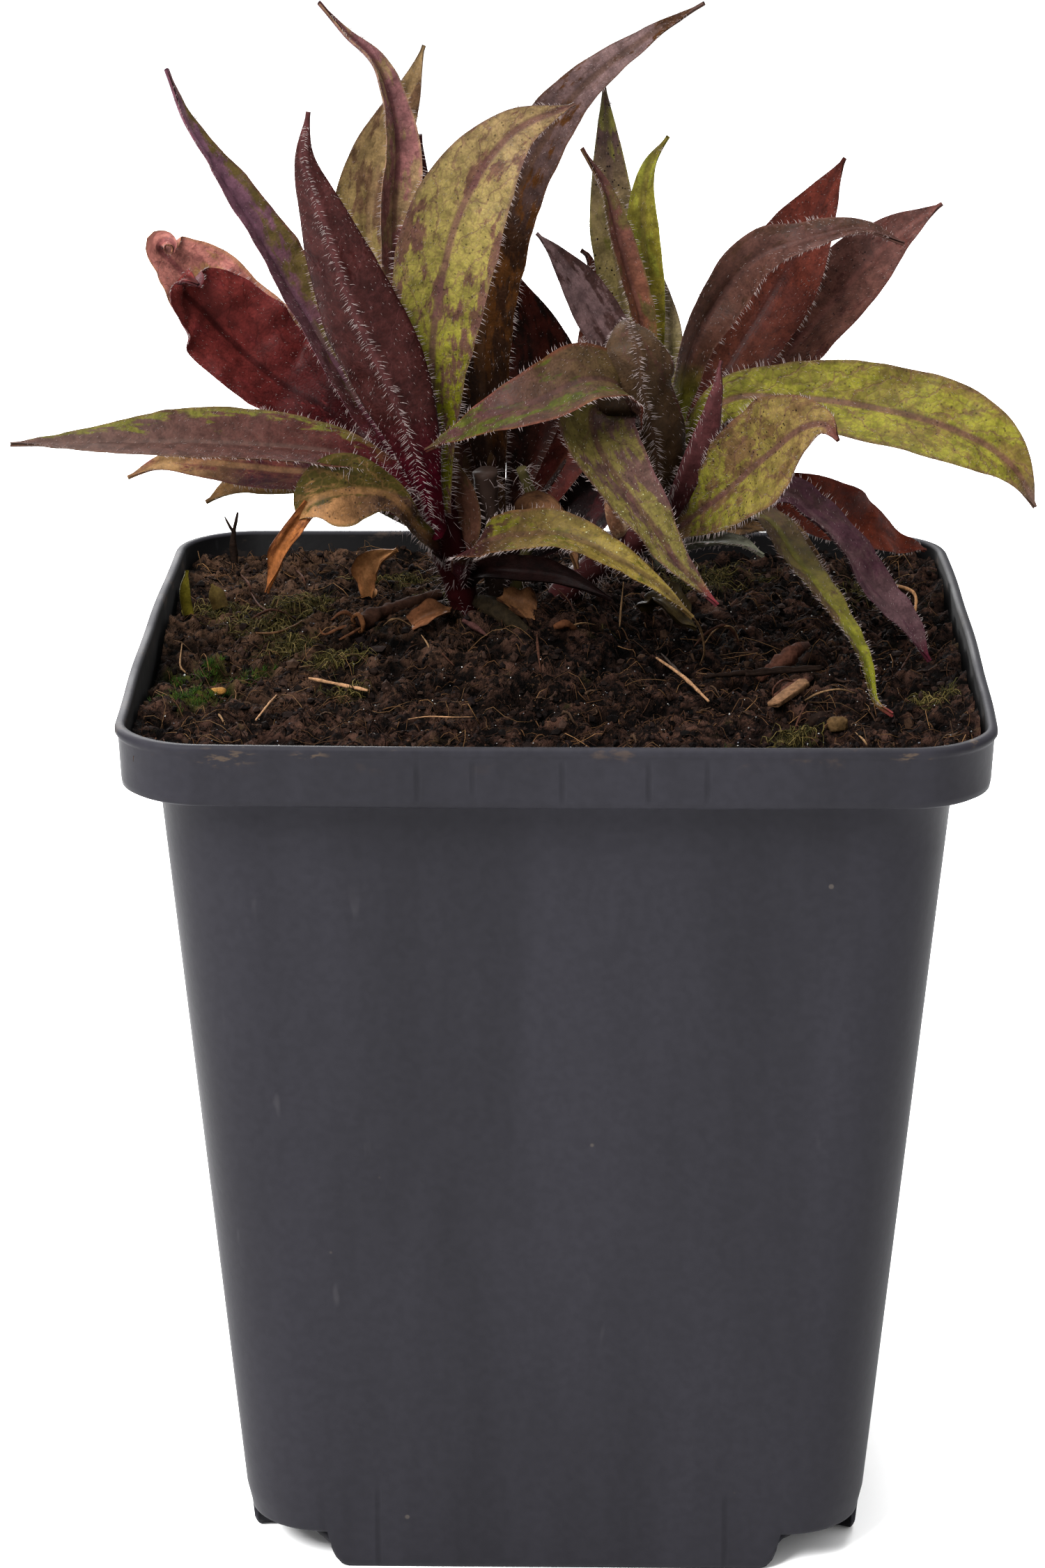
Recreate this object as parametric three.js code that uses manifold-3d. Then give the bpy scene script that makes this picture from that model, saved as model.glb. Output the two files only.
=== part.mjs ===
import * as THREE from "three";
import Module from "manifold-3d";

// A dark-leaved campion in a square nursery pot.
// Millimetres, +Z up: the pot stands on z = 0, centred on the axis, and its front faces -Y.

// Pot
const POT_HEIGHT = 118;
const RIM_WIDTH = 110;
const RIM_CORNER = 11;
const RIM_BAND = 8;
const RIM_BOW = 0.5;
const BEAD_HEIGHT = 0.8;
const BEAD_DEPTH = 0.35;
const WALL = 1.2;
const SHOULDER_WIDTH = 100.3;
const SHOULDER_CORNER = 12;
const FOOT_WIDTH = 80.9;
const FOOT_CORNER = 10;
const CORNER_LIFT = 5;
const CORNER_STEPS = 4;
const FOOT_ARCH = [
  [-1, 26.5],
  [0.4, 27.6],
  [2.2, 29],
  [4, 29.7],
  [CORNER_LIFT, 29.9],
];
const CORNER_HOLE_RADIUS = 2.6;
const CORNER_HOLE_AT = 34;
const SUMP_HOLE_RADIUS = 3.2;
const SUMP_HOLE_AT = 21;

// Soil
const GAP = 0.3;
const SOIL_LEVEL = 114.2;
const SOIL_CELLS = 20;
const MOUND = { x: -6, y: 9, height: 5.5, spread: 15 };
const DIP = { x: -47, y: -9, height: -2.4, spread: 7 };

// Leaves
const BLADE = 0.6;
const MIDRIB = 0.5;
const ROOT_THICKNESS = 1.5;
const TIP_HALF_WIDTH = 0.4;
const BROAD_ACROSS = [-1, -0.5, 0, 0.5, 1];
const SLIM_ACROSS = [-1, 0, 1];
const SLIM_WIDTH = 5.5;
const BLADE_STATIONS = 11;

const COLORS = {
  pot: 0x434147,
  soil: 0x2a211b,
  leftShoot: 0x5a3a3c,
  backShoot: 0x4f4232,
  rightShoot: 0x5d5a3c,
  dryLeaf: 0x9a7b58,
  darkDryLeaf: 0x4c3a2d,
  straw: 0xb39a6f,
  twig: 0x3a2c24,
  bark: 0x7a5b41,
  lump: 0x9c8264,
  seed: 0xc9b993,
  root: 0x8d6f52,
  seedlingLeaf: 0x8b9a45,
};

// Each leaf: midrib from root to tip, full width, the way its upper face looks at root and tip,
// the angle each half is folded up, the further curl to its edge, and the waving of that edge.
const LEFT_LEAVES = [
  {
    "name": "tall_curved",
    "path": [
      [-16, 3, 133], [-25.3, 2, 146.5], [-34.3, 2, 162], [-41.8, 0, 175.5],
      [-47.4, -3, 185.5], [-50.2, -5, 193.5],
    ],
    "width": 9, "face": [[0.5, -0.8, 0.3], [0.7, -0.6, 0.4]],
    "fold": 0.55, "curl": 0, "wave": 0.3, "peak": 0.4,
  },
  {
    "name": "front_upright",
    "path": [
      [-16, 0, 132], [-20, -8, 148], [-26.3, -11, 163.5], [-30.3, -12, 176],
      [-32.3, -12, 183], [-31.8, -11, 189],
    ],
    "width": 12, "face": [[0.2, 1, 0.2], [0, 1, 0.2]],
    "fold": 0.25, "curl": 0.3, "wave": 0.4, "peak": 0.48,
  },
  {
    "name": "top_twisted",
    "path": [
      [-16, 3, 134], [-21, 8, 157.5], [-22, 9, 170], [-21.5, 9, 181.5],
      [-23.5, 7, 191.5], [-27.5, 5, 196.5], [-31, 3, 201],
    ],
    "width": 7, "face": [[0.1, -1, 0.1], [0.5, -0.6, 0.6]],
    "fold": 0.5, "curl": 0.3, "wave": 0.6, "peak": 0.55,
  },
  {
    "name": "olive_behind",
    "path": [
      [-16, 5, 134], [-23, 13, 156.5], [-25.5, 15, 168], [-24, 15, 178.5],
      [-20, 14, 188], [-18, 13, 194],
    ],
    "width": 10.5, "face": [[0, -1, 0.2], [0, -1, 0.2]],
    "fold": 0.2, "curl": 0.2, "wave": 0.5, "peak": 0.6,
  },
  {
    "name": "inner_dark",
    "path": [
      [-15.5, 4, 134], [-17.5, 11, 160.5], [-18, 12, 173.5], [-18.5, 12, 182.5],
    ],
    "width": 5.5, "face": [[0, -1, 0.1], [0, -1, 0.1]],
    "fold": 0.3, "curl": 0, "wave": 0.2, "peak": 0.5,
  },
  {
    "name": "big_green",
    "path": [
      [-15.5, 0, 134], [-16.5, -5, 155.5], [-14.5, -7, 169.5], [-11.5, -7, 178],
      [-6, -6, 185.5], [2, -4, 189],
    ],
    "width": 13.5, "face": [[0.1, -1, 0.2], [-0.1, -1, 0.2]],
    "fold": 0.2, "curl": 0.15, "wave": 0.5, "peak": 0.6,
  },
  {
    "name": "long_side",
    "path": [
      [-16, 0, 135], [-26.5, -6, 142.8], [-40.5, -9, 145.3], [-51.5, -11, 146],
      [-63.5, -12, 146.2], [-71, -12, 146],
    ],
    "width": 11, "face": [[0, -0.5, 0.9], [0, -0.5, 0.9]],
    "fold": 0.3, "curl": 0, "wave": 0.4, "peak": 0.45,
  },
  {
    "name": "low_side",
    "path": [
      [-16, 1, 132], [-28, 2, 138], [-39, 2, 139.5], [-47.5, 1, 140.5],
      [-53, 0, 140.5], [-57, -1, 139],
    ],
    "width": 8, "face": [[0, -0.7, 0.7], [0, -0.7, 0.7]],
    "fold": 0.2, "curl": 0, "wave": 0.4, "peak": 0.5,
  },
  {
    "name": "short_side",
    "path": [
      [-16, 4, 130], [-28.5, 9, 135.5], [-38, 10, 136], [-43.5, 9, 135.5],
      [-47.5, 8, 133.5],
    ],
    "width": 5, "face": [[0, -0.7, 0.7], [0, -0.7, 0.7]],
    "fold": 0.2, "curl": 0, "wave": 0.3, "peak": 0.72,
  },
  {
    "name": "red_front",
    "path": [
      [-15, 5, 132], [-30, 9, 145], [-38, 11, 149.5], [-44.5, 11, 155.5],
      [-48, 10, 159.5], [-50, 7.5, 162.5], [-49, 4.5, 164.5], [-47.5, 3.5, 164],
    ],
    "width": 15.5, "face": [[0.2, -0.8, 0.6], [0.4, -0.8, 0.4]],
    "fold": 0.3, "curl": 0.2, "wave": 0.5, "peak": 0.72,
  },
  {
    "name": "red_back",
    "path": [
      [-15.5, 7, 133], [-31.5, 14, 146], [-41, 17, 153.5], [-48.5, 17.5, 160.5],
      [-52.5, 17, 165], [-53, 16, 167], [-52, 14.5, 168], [-51.5, 14, 167],
    ],
    "width": 13, "face": [[0.2, -0.8, 0.5], [0.4, -0.8, 0.4]],
    "fold": 0.35, "curl": 0.2, "wave": 0.5, "peak": 0.66,
  },
  {
    "name": "withered",
    "path": [
      [-14, 5.5, 126], [-18, -4, 132.5], [-21.5, -8, 138], [-25.5, -10, 139.5],
      [-29, -11.5, 139.5], [-32, -12, 138.5], [-34, -12, 136],
    ],
    "width": 10, "face": [[0.2, -0.9, 0.4], [-0.2, -0.95, 0.3]],
    "fold": 0.15, "curl": 0.2, "wave": 0.5, "peak": 0.66,
  },
  {
    "name": "withered_tail",
    "path": [
      [-32, -12, 138], [-34, -12.5, 135.5], [-36, -13, 132.5], [-37, -13, 130],
      [-38, -13, 126.5],
    ],
    "width": 3, "face": [[0.3, -0.9, 0.2], [-0.6, -0.7, 0.2]],
    "fold": 0.3, "curl": 0.3, "wave": 0.4, "peak": 0.45,
  },
  {
    "name": "low_front",
    "path": [
      [-13.5, 6, 124], [-11, -6, 131], [-5.5, -12, 134], [1, -16, 135],
      [7, -19, 133], [12.5, -20.5, 130], [17.5, -21, 125.5],
    ],
    "width": 6.6, "face": [[0, -0.7, 0.7], [0.2, -0.7, 0.7]],
    "fold": 0.25, "curl": 0, "wave": 0.5, "peak": 0.5,
  },
  {
    "name": "dead_under",
    "path": [
      [-13, 6, 123.5], [-9.5, 2.5, 125.5], [-5, 0.5, 126], [1, -3, 126],
      [7, -6, 124],
    ],
    "width": 4.5, "face": [[0, -0.8, 0.6], [0, -0.8, 0.6]],
    "fold": 0.3, "curl": 0.5, "wave": 0.3, "peak": 0.5,
  },
  {
    "name": "crown_olive",
    "path": [
      [-13.5, 5.5, 124], [-13, 3, 133], [-14.5, 2, 139], [-16, 2, 144],
    ],
    "width": 6.5, "face": [[-0.2, -1, 0.3], [-0.2, -1, 0.2]],
    "fold": 0.2, "curl": 0.1, "wave": 0.3, "peak": 0.5,
  },
];

const BACK_LEAVES = [
  {
    "name": "tall_brown",
    "path": [
      [-8, 13, 128], [-10.5, 14, 152], [-8.8, 13.5, 165], [-5.8, 12, 174.5],
      [1.5, 9, 187.5], [11, 6, 196], [18.5, 3, 201],
    ],
    "width": 10.5, "face": [[-0.2, -1, 0.2], [-0.4, -0.8, 0.2]],
    "fold": 0.25, "curl": 0.1, "wave": 0.4, "peak": 0.42,
  },
  {
    "name": "dark_red",
    "path": [
      [-7, 12, 128], [-2.5, 17, 141], [-2.7, 20, 148.5], [-3.7, 22, 154.5],
      [-6, 23, 162],
    ],
    "width": 12, "face": [[0, -1, 0.2], [0, -1, 0.2]],
    "fold": 0.2, "curl": 0.1, "wave": 0.3, "peak": 0.55,
  },
  {
    "name": "crown_back",
    "path": [
      [-7, 12, 126], [-11, 13, 134.5], [-11.5, 15, 141.5], [-10.5, 16.5, 148.5],
      [-9, 17, 154.5],
    ],
    "width": 9.5, "face": [[0, -1, 0.2], [0, -1, 0.2]],
    "fold": 0.15, "curl": 0.1, "wave": 0.3, "peak": 0.5,
  },
  {
    "name": "crown_fan",
    "path": [
      [-7, 12, 124], [1, 14.5, 131.5], [3.5, 17, 134.5], [5.5, 19, 139],
      [7.5, 20, 145],
    ],
    "width": 12, "face": [[0, -1, 0.3], [0, -1, 0.2]],
    "fold": 0.2, "curl": 0.1, "wave": 0.4, "peak": 0.45,
  },
  {
    "name": "red_curl",
    "path": [
      [-6.5, 12, 126], [5, 17, 146], [4.5, 20, 153], [5, 21.5, 159],
      [4, 21.5, 164], [3, 20, 165.5],
    ],
    "width": 7.5, "face": [[0, -1, 0.2], [0.2, -1, 0.2]],
    "fold": 0.4, "curl": 0.2, "wave": 0.3, "peak": 0.45,
  },
  {
    "name": "tan_dead",
    "path": [
      [-6.5, 9, 128], [-3.5, 4, 133.5], [-1, 2, 133], [1.5, 1, 130],
      [2.5, 0, 126.5],
    ],
    "width": 5, "face": [[0, -0.7, 0.7], [0.3, -0.9, 0.2]],
    "fold": 0.3, "curl": 0.5, "wave": 0.5, "peak": 0.5,
  },
];

const RIGHT_LEAVES = [
  {
    "name": "speckled",
    "path": [
      [11, 5, 139], [9, 9, 157.5], [7.2, 10, 169], [6.5, 10, 178.5],
      [5.7, 9, 190],
    ],
    "width": 6.6, "face": [[0, -1, 0.1], [0, -1, 0.1]],
    "fold": 0.3, "curl": 0, "wave": 0.3, "peak": 0.6,
  },
  {
    "name": "red_narrow",
    "path": [
      [12, 2, 139], [11, 2.5, 157.5], [8.5, 3, 167], [6, 2, 176.5],
      [3, 1, 182.5],
    ],
    "width": 4.5, "face": [[0.3, -1, 0.1], [0.5, -0.8, 0.3]],
    "fold": 0.6, "curl": 0, "wave": 0.3, "peak": 0.6,
  },
  {
    "name": "bright_green",
    "path": [
      [12, 4, 139], [11.8, 7, 160.5], [11, 7, 172], [11.6, 6, 179],
      [14, 4, 183.5],
    ],
    "width": 5.4, "face": [[0, -1, 0.1], [-0.3, -1, 0.1]],
    "fold": 0.35, "curl": 0, "wave": 0.2, "peak": 0.6,
  },
  {
    "name": "grey_left",
    "path": [
      [11, 2, 139], [7.8, 5, 153], [4.3, 6, 160.5], [0, 5, 167.3],
      [-2.9, 4, 170.8],
    ],
    "width": 6.5, "face": [[0.3, -1, 0.3], [0.3, -1, 0.3]],
    "fold": 0.3, "curl": 0, "wave": 0.3, "peak": 0.62,
  },
  {
    "name": "small_purple",
    "path": [
      [13, 3, 139], [14.5, 8, 154], [13.8, 10, 161], [12.7, 10, 166],
    ],
    "width": 4, "face": [[0, -1, 0.1], [0, -1, 0.1]],
    "fold": 0.3, "curl": 0, "wave": 0.2, "peak": 0.6,
  },
  {
    "name": "red_up",
    "path": [
      [14, 3, 137], [23, 10, 152.5], [28.5, 13, 161], [33.5, 13, 171],
      [37.5, 12, 179.5],
    ],
    "width": 13.2, "face": [[-0.2, -0.9, 0.4], [-0.3, -0.9, 0.3]],
    "fold": 0.3, "curl": 0.1, "wave": 0.5, "peak": 0.6,
  },
  {
    "name": "arching",
    "path": [
      [13.5, 0, 138], [17, -1, 155], [21, 0, 163], [26, -1, 168.5],
      [33.5, -3, 171.5], [39.5, -5, 173], [44.5, -6, 171.5],
    ],
    "width": 7, "face": [[0.7, -0.8, 0.2], [0.1, -0.6, 0.8]],
    "fold": 0.4, "curl": 0, "wave": 0.4, "peak": 0.6,
  },
  {
    "name": "red_right",
    "path": [
      [14.5, 3, 135], [26.5, 12, 148], [35, 16, 157.5], [42, 18, 165],
      [47, 18, 169.5], [51, 18, 172.5],
    ],
    "width": 12, "face": [[-0.3, -0.7, 0.6], [-0.4, -0.8, 0.4]],
    "fold": 0.25, "curl": 0.1, "wave": 0.5, "peak": 0.65,
  },
  {
    "name": "big_yellow",
    "path": [
      [14, -1, 138], [21, -6, 150], [29.5, -9, 151.7], [40, -12, 151.2],
      [50, -15, 149.2], [57.3, -17, 145.5], [61.3, -18, 139.5],
    ],
    "width": 12.3, "face": [[-0.3, -0.8, 0.5], [0.3, -0.8, 0.5]],
    "fold": 0.25, "curl": 0.1, "wave": 0.5, "peak": 0.72,
  },
  {
    "name": "broad_front",
    "path": [
      [14, -1, 131], [21, -13, 139.5], [26.5, -21, 146.5], [30.5, -27, 151.5],
      [33.5, -30.5, 153], [35, -32.5, 151.5],
    ],
    "width": 14, "face": [[-0.3, -0.8, 0.5], [-0.3, -0.85, 0.4]],
    "fold": 0.2, "curl": 0.1, "wave": 0.5, "peak": 0.66,
  },
  {
    "name": "folded_upright",
    "path": [
      [13.5, -2, 132], [15.5, -9, 141], [18, -11, 148], [20, -12, 153.5],
      [21, -11, 157],
    ],
    "width": 7, "face": [[0.8, 0.3, 0.3], [0.8, 0.3, 0.3]],
    "fold": 0.9, "curl": 0.2, "wave": 0.2, "peak": 0.5,
  },
  {
    "name": "olive_hook",
    "path": [
      [12.5, -2, 132], [12.7, -9.5, 144], [10.8, -13.5, 153], [10, -13, 159],
      [9, -9, 161.5], [8, -5, 160],
    ],
    "width": 12, "face": [[0, 1, 0.2], [0, 0, -1]],
    "fold": 0.25, "curl": 0.3, "wave": 0.3, "peak": 0.6,
  },
  {
    "name": "cross_left",
    "path": [
      [12.5, -1, 137], [8.5, -13, 153], [3.5, -18.5, 156], [-2, -21, 154],
      [-9, -21, 151.5], [-17, -17, 146.5],
    ],
    "width": 10, "face": [[0, -0.6, 0.8], [0, -0.7, 0.7]],
    "fold": 0.2, "curl": 0.1, "wave": 0.5, "peak": 0.5,
  },
  {
    "name": "over_right",
    "path": [
      [13, 0, 135], [8, -9, 148], [4.5, -14, 151], [5, -18, 147.5],
      [8, -21, 143], [11.5, -23.5, 139], [15, -25, 134], [20.5, -26, 128.5],
    ],
    "width": 11, "face": [[0.2, -0.7, 0.7], [0.5, -0.7, 0.6]],
    "fold": 0.2, "curl": 0.1, "wave": 0.6, "peak": 0.5,
  },
  {
    "name": "strap",
    "path": [
      [14, 0, 131], [26, -4, 135], [31, -11, 131], [34.5, -17, 127.5],
      [37.5, -22, 124.5], [39.5, -27, 121], [40.5, -31, 117.5], [42.5, -34, 116.4],
    ],
    "width": 5, "face": [[0.4, -0.5, 0.8], [0.4, -0.5, 0.8]],
    "fold": 0.2, "curl": 0, "wave": 0.1, "peak": 0.35,
  },
  {
    "name": "wavy_dark",
    "path": [
      [14.5, 1, 131], [28.5, 1, 136.5], [33.5, 0, 134], [38, -3, 130],
      [42, -5, 125], [46, -7, 121], [49, -9, 116.5],
    ],
    "width": 6.5, "face": [[0.4, -0.4, 0.8], [0.5, -0.6, 0.6]],
    "fold": 0.2, "curl": 0.2, "wave": 0.7, "peak": 0.74,
  },
  {
    "name": "red_low",
    "path": [
      [14, 3, 131], [29, 14, 132], [37, 19, 129.5], [43, 23, 126.5],
      [47, 27, 123.5], [51, 31, 121.5],
    ],
    "width": 9, "face": [[0.1, -0.9, 0.4], [0.3, -0.8, 0.5]],
    "fold": 0.2, "curl": 0.1, "wave": 0.6, "peak": 0.55,
  },
  {
    "name": "crown_pink",
    "path": [
      [9, 5, 128.5], [9.5, 2, 131], [8, 1, 134], [6, 1, 137.5],
    ],
    "width": 5, "face": [[0, -1, 0.3], [0, -1, 0.3]],
    "fold": 0.2, "curl": 0.1, "wave": 0.3, "peak": 0.5,
  },
  {
    "name": "pale_low",
    "path": [
      [13, 0, 128], [21, -10, 129], [24.5, -14, 130.5], [27, -17, 131],
    ],
    "width": 3.4, "face": [[0, -0.5, 0.9], [0, -0.5, 0.9]],
    "fold": 0.3, "curl": 0, "wave": 0.2, "peak": 0.6,
  },
  {
    "name": "dark_low",
    "path": [
      [14, 3, 129], [28, 6.5, 131], [34, 6.5, 126.5], [37, 6, 122],
    ],
    "width": 4, "face": [[0.2, -0.5, 0.9], [0.6, -0.5, 0.6]],
    "fold": 0.3, "curl": 0, "wave": 0.3, "peak": 0.6,
  },
];

// Stems as [x, y, z, radius], from the foot in the soil to the top.
const LEFT_STEMS = {
  main: [[-12, 8, 108, 1.9], [-13, 7, 121, 2], [-15, 4, 129, 2.4], [-16, 2, 137, 1.9]],
};
const BACK_STEMS = {
  main: [[-7, 12, 108, 2], [-7, 12, 120, 2], [-7, 12, 131, 1.8]],
  cutOff: [[-7.5, 10.5, 116, 1.5], [-9, 6, 126, 1.5], [-9.8, 3.5, 139, 1.6]],
  thin: [[-6.5, 11, 118, 1], [-3.5, 7, 132, 0.8], [-5, 5, 139, 0.7]],
};
const RIGHT_STEMS = {
  main: [[-1, 12, 108, 1.9], [0, 12, 119, 1.9], [6, 7.5, 126, 2], [12, 2, 132, 2.5], [14, 0.5, 139, 2]],
  upright: [[12.5, 2, 131, 1.8], [12, 3, 138, 2], [12, 3.5, 144, 1.4]],
};
const STEM_SIDES = 8;

// Things on the soil, each a run of [x, y, lift above the soil, radius].
const LYING = {
  straw_long: {
    color: COLORS.straw,
    run: [[-32.5, -14.5, 1.3, 0.4], [-28.5, -18, 1.2, 0.5], [-24.5, -21, 1.2, 0.4]],
  },
  straw_short: {
    color: COLORS.straw,
    run: [[-36.3, -21, 1.1, 0.4], [-36.8, -28, 1.1, 0.5], [-38, -35, 1.1, 0.4]],
  },
  straw_middle: {
    color: COLORS.straw,
    run: [[13, -9.5, 1.3, 0.4], [16.5, -16, 1.2, 0.5], [19.5, -25.5, 1.1, 0.4]],
  },
  twig_dark: {
    color: COLORS.twig,
    run: [[19.5, -17, 1.5, 0.5], [24.5, -15.5, 1.6, 0.7], [29.5, -14, 1.6, 0.7], [34.5, -12, 1.7, 0.5]],
  },
  root_curled: {
    color: COLORS.root,
    run: [[-41, 6.5, 0.9, 0.4], [-38, 4, 1.6, 0.5], [-36, 8, 1.2, 0.5], [-35, 12, 0.9, 0.4]],
  },
  root_right: {
    color: COLORS.root,
    run: [[48, 12, 1, 0.4], [49, 21, 3, 0.5], [46.5, 27, 3.2, 0.5], [43.5, 29, 2.4, 0.4]],
  },
};

const UPRIGHT_TWIG = [[-46.6, 46.5, 112, 0.7], [-46.9, 46.8, 118, 0.6], [-46.3, 47, 122.4, 0.5]];
const DEAD_STEM = [[-17, 11, 119.8, 0.9], [-21, 10, 118.8, 1.1], [-25, 9, 118.2, 1], [-29.5, 6, 117.2, 0.8]];

const DEAD_LEAVES = {
  dry_leaf_front: {
    color: COLORS.dryLeaf,
    leaf: {
      "path": [[-7.5, 3.5, 122], [-6, 2.5, 121.5], [-4.5, 1.2, 120.6], [-3.2, 0, 119.4]],
      "width": 5.2, "face": [[0.2, -0.9, 0.4], [0.3, -0.9, 0.3]],
      "fold": 0.3, "curl": 0.4, "wave": 0.4, "peak": 0.5,
    },
  },
  dry_leaf_under: {
    color: COLORS.darkDryLeaf,
    leaf: {
      "path": [[11.5, 10, 119.1], [13.5, 8, 119.9], [15.8, 5.5, 119.1], [18.5, 4, 117.3]],
      "width": 5, "face": [[0, -0.5, 0.9], [0, -0.5, 0.9]],
      "fold": 0.2, "curl": 0.4, "wave": 0.4, "peak": 0.5,
    },
  },
  dry_leaf_left: {
    color: COLORS.dryLeaf,
    leaf: {
      "path": [[-26.5, 23.5, 116.5], [-27, 23, 119.5], [-25, 22.5, 122], [-22.5, 22, 123.5]],
      "width": 3.6, "face": [[-0.3, -0.9, 0.3], [-0.3, -0.9, 0.4]],
      "fold": 0.2, "curl": 0.4, "wave": 0.3, "peak": 0.5,
    },
  },
  dry_scrap: {
    color: COLORS.dryLeaf,
    leaf: {
      "path": [[-19.5, 1.5, 119.4], [-18, 1.5, 120.4], [-16, 2, 121], [-14.5, 3.5, 121.2]],
      "width": 4, "face": [[-0.2, -0.8, 0.6], [0, -0.8, 0.6]],
      "fold": 0.2, "curl": 0.3, "wave": 0.3, "peak": 0.5,
    },
  },
  seedling_leaf: {
    color: COLORS.seedlingLeaf,
    leaf: {
      "path": [[-50.8, 15.5, 115.8], [-51.2, 15, 119], [-50.8, 14.5, 122.2]],
      "width": 3, "face": [[0.2, -0.9, 0.4], [0.2, -0.9, 0.4]],
      "fold": 0.2, "curl": 0, "wave": 0.1, "peak": 0.5,
    },
  },
  seedling_olive: {
    color: COLORS.seedlingLeaf,
    leaf: {
      "path": [[-46.8, 20, 115.6], [-47.3, 20.3, 117.2], [-48, 20.8, 118.8]],
      "width": 2.4, "face": [[0, -0.7, 0.7], [0, -0.7, 0.7]],
      "fold": 0.1, "curl": 0, "wave": 0.1, "peak": 0.5,
    },
  },
};

const CHIPS = {
  bark_chip: { color: COLORS.bark, at: [29, -26, 1.3], size: [6.4, 2.6, 1.9], turn: 0.6 },
  tan_lump: { color: COLORS.lump, at: [35.6, -34.5, 1.7], size: [2.9, 2.7, 2.2], turn: 0.4 },
  oval_seed: { color: COLORS.seed, at: [-44.6, -14.5, 1.1], size: [2.6, 1.5, 1.3], turn: 0.1 },
};
const CHIP_SEED = 11;

const wasm = await Module();
wasm.setup();

const vector = (p) => new THREE.Vector3(p[0], p[1], p[2]);

function solidFrom(points, faces) {
  return new wasm.Manifold(
    new wasm.Mesh({
      numProp: 3,
      vertProperties: new Float32Array(points.flatMap((p) => [p.x, p.y, p.z])),
      triVerts: new Uint32Array(faces.flat()),
    }),
  );
}

const union = (solids) => solids.reduce((all, next) => all.add(next));

function centreOf(ring) {
  const sum = ring.reduce((total, p) => total.add(p), new THREE.Vector3());
  return sum.divideScalar(ring.length);
}

// A closed solid through rings that run counter-clockwise seen from the last ring.
function loft(rings) {
  const count = rings[0].length;
  const points = rings.flat();
  const start = points.push(centreOf(rings[0])) - 1;
  const end = points.push(centreOf(rings[rings.length - 1])) - 1;
  const top = (rings.length - 1) * count;
  const faces = [];
  for (let j = 0; j < count; j++) {
    const k = (j + 1) % count;
    faces.push([start, k, j], [end, top + j, top + k]);
    for (let base = 0; base < top; base += count) {
      faces.push([base + j, base + k, base + count + k]);
      faces.push([base + j, base + count + k, base + count + j]);
    }
  }
  return solidFrom(points, faces);
}

// Pot

function roundedSquare(width, corner, z, bow = 0) {
  const inner = width / 2 - corner;
  const ring = [];
  for (let side = 0; side < 4; side++) {
    const middle = (side * Math.PI) / 2;
    const reach = width / 2 + bow;
    ring.push(new THREE.Vector3(reach * Math.cos(middle), reach * Math.sin(middle), z));
    const centre = new THREE.Vector3(inner, inner, z).applyAxisAngle(new THREE.Vector3(0, 0, 1), middle);
    for (let step = 0; step <= CORNER_STEPS; step++) {
      const angle = middle + (step / CORNER_STEPS) * (Math.PI / 2);
      const spoke = new THREE.Vector3(Math.cos(angle), Math.sin(angle), 0);
      ring.push(centre.clone().addScaledVector(spoke, corner));
    }
  }
  return ring;
}

function outerShell() {
  const band = POT_HEIGHT - RIM_BAND;
  const bead = POT_HEIGHT - BEAD_HEIGHT;
  const bandWidth = RIM_WIDTH - 2 * BEAD_DEPTH;
  return loft([
    roundedSquare(FOOT_WIDTH, FOOT_CORNER, 0),
    roundedSquare(SHOULDER_WIDTH, SHOULDER_CORNER, band - 1.4),
    roundedSquare(SHOULDER_WIDTH + 0.8, SHOULDER_CORNER, band - 0.3),
    roundedSquare(bandWidth - 0.8, RIM_CORNER, band, RIM_BOW),
    roundedSquare(bandWidth, RIM_CORNER, bead - 0.3, RIM_BOW),
    roundedSquare(RIM_WIDTH, RIM_CORNER, bead, RIM_BOW),
    roundedSquare(RIM_WIDTH, RIM_CORNER, POT_HEIGHT, RIM_BOW),
  ]);
}

function cavity(gap) {
  const band = POT_HEIGHT - RIM_BAND;
  const less = 2 * (WALL + gap);
  const floor = CORNER_LIFT + WALL + gap;
  const floorWidth = FOOT_WIDTH + ((SHOULDER_WIDTH - FOOT_WIDTH) * floor) / band;
  return loft([
    roundedSquare(floorWidth - less, FOOT_CORNER - WALL, floor),
    roundedSquare(SHOULDER_WIDTH - less, SHOULDER_CORNER - WALL, band - 1),
    roundedSquare(SHOULDER_WIDTH - less + 0.6, SHOULDER_CORNER - WALL, band + 0.6 + gap),
    roundedSquare(RIM_WIDTH - less - 1.2, RIM_CORNER - WALL, band + 1.2 + gap, RIM_BOW),
    roundedSquare(RIM_WIDTH - less - 0.4, RIM_CORNER - WALL, POT_HEIGHT + 1, RIM_BOW),
  ]);
}

function prism(x0, x1, y0, y1, z0, z1) {
  const ring = (z) => [[x0, y0, z], [x1, y0, z], [x1, y1, z], [x0, y1, z]].map(vector);
  return loft([ring(z0), ring(z1)]);
}

// The well in the pot's floor between its four raised corners.
function sump(gap) {
  const bottom = WALL + gap;
  const top = CORNER_LIFT + WALL + gap + 0.5;
  const arm = FOOT_ARCH[1][1] - WALL - gap;
  const reach = FOOT_WIDTH / 2 - WALL - gap;
  return prism(-reach, reach, -arm, arm, bottom, top).add(prism(-arm, arm, -reach, reach, bottom, top));
}

function cornerCut(x, y) {
  const far = FOOT_WIDTH;
  const ring = ([z, near]) => {
    const square = [[near, near, z], [far, near, z], [far, far, z], [near, far, z]];
    const flipped = square.map(([px, py, pz]) => vector([px * x, py * y, pz]));
    return x * y > 0 ? flipped : flipped.reverse();
  };
  return loft(FOOT_ARCH.map(ring));
}

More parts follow.
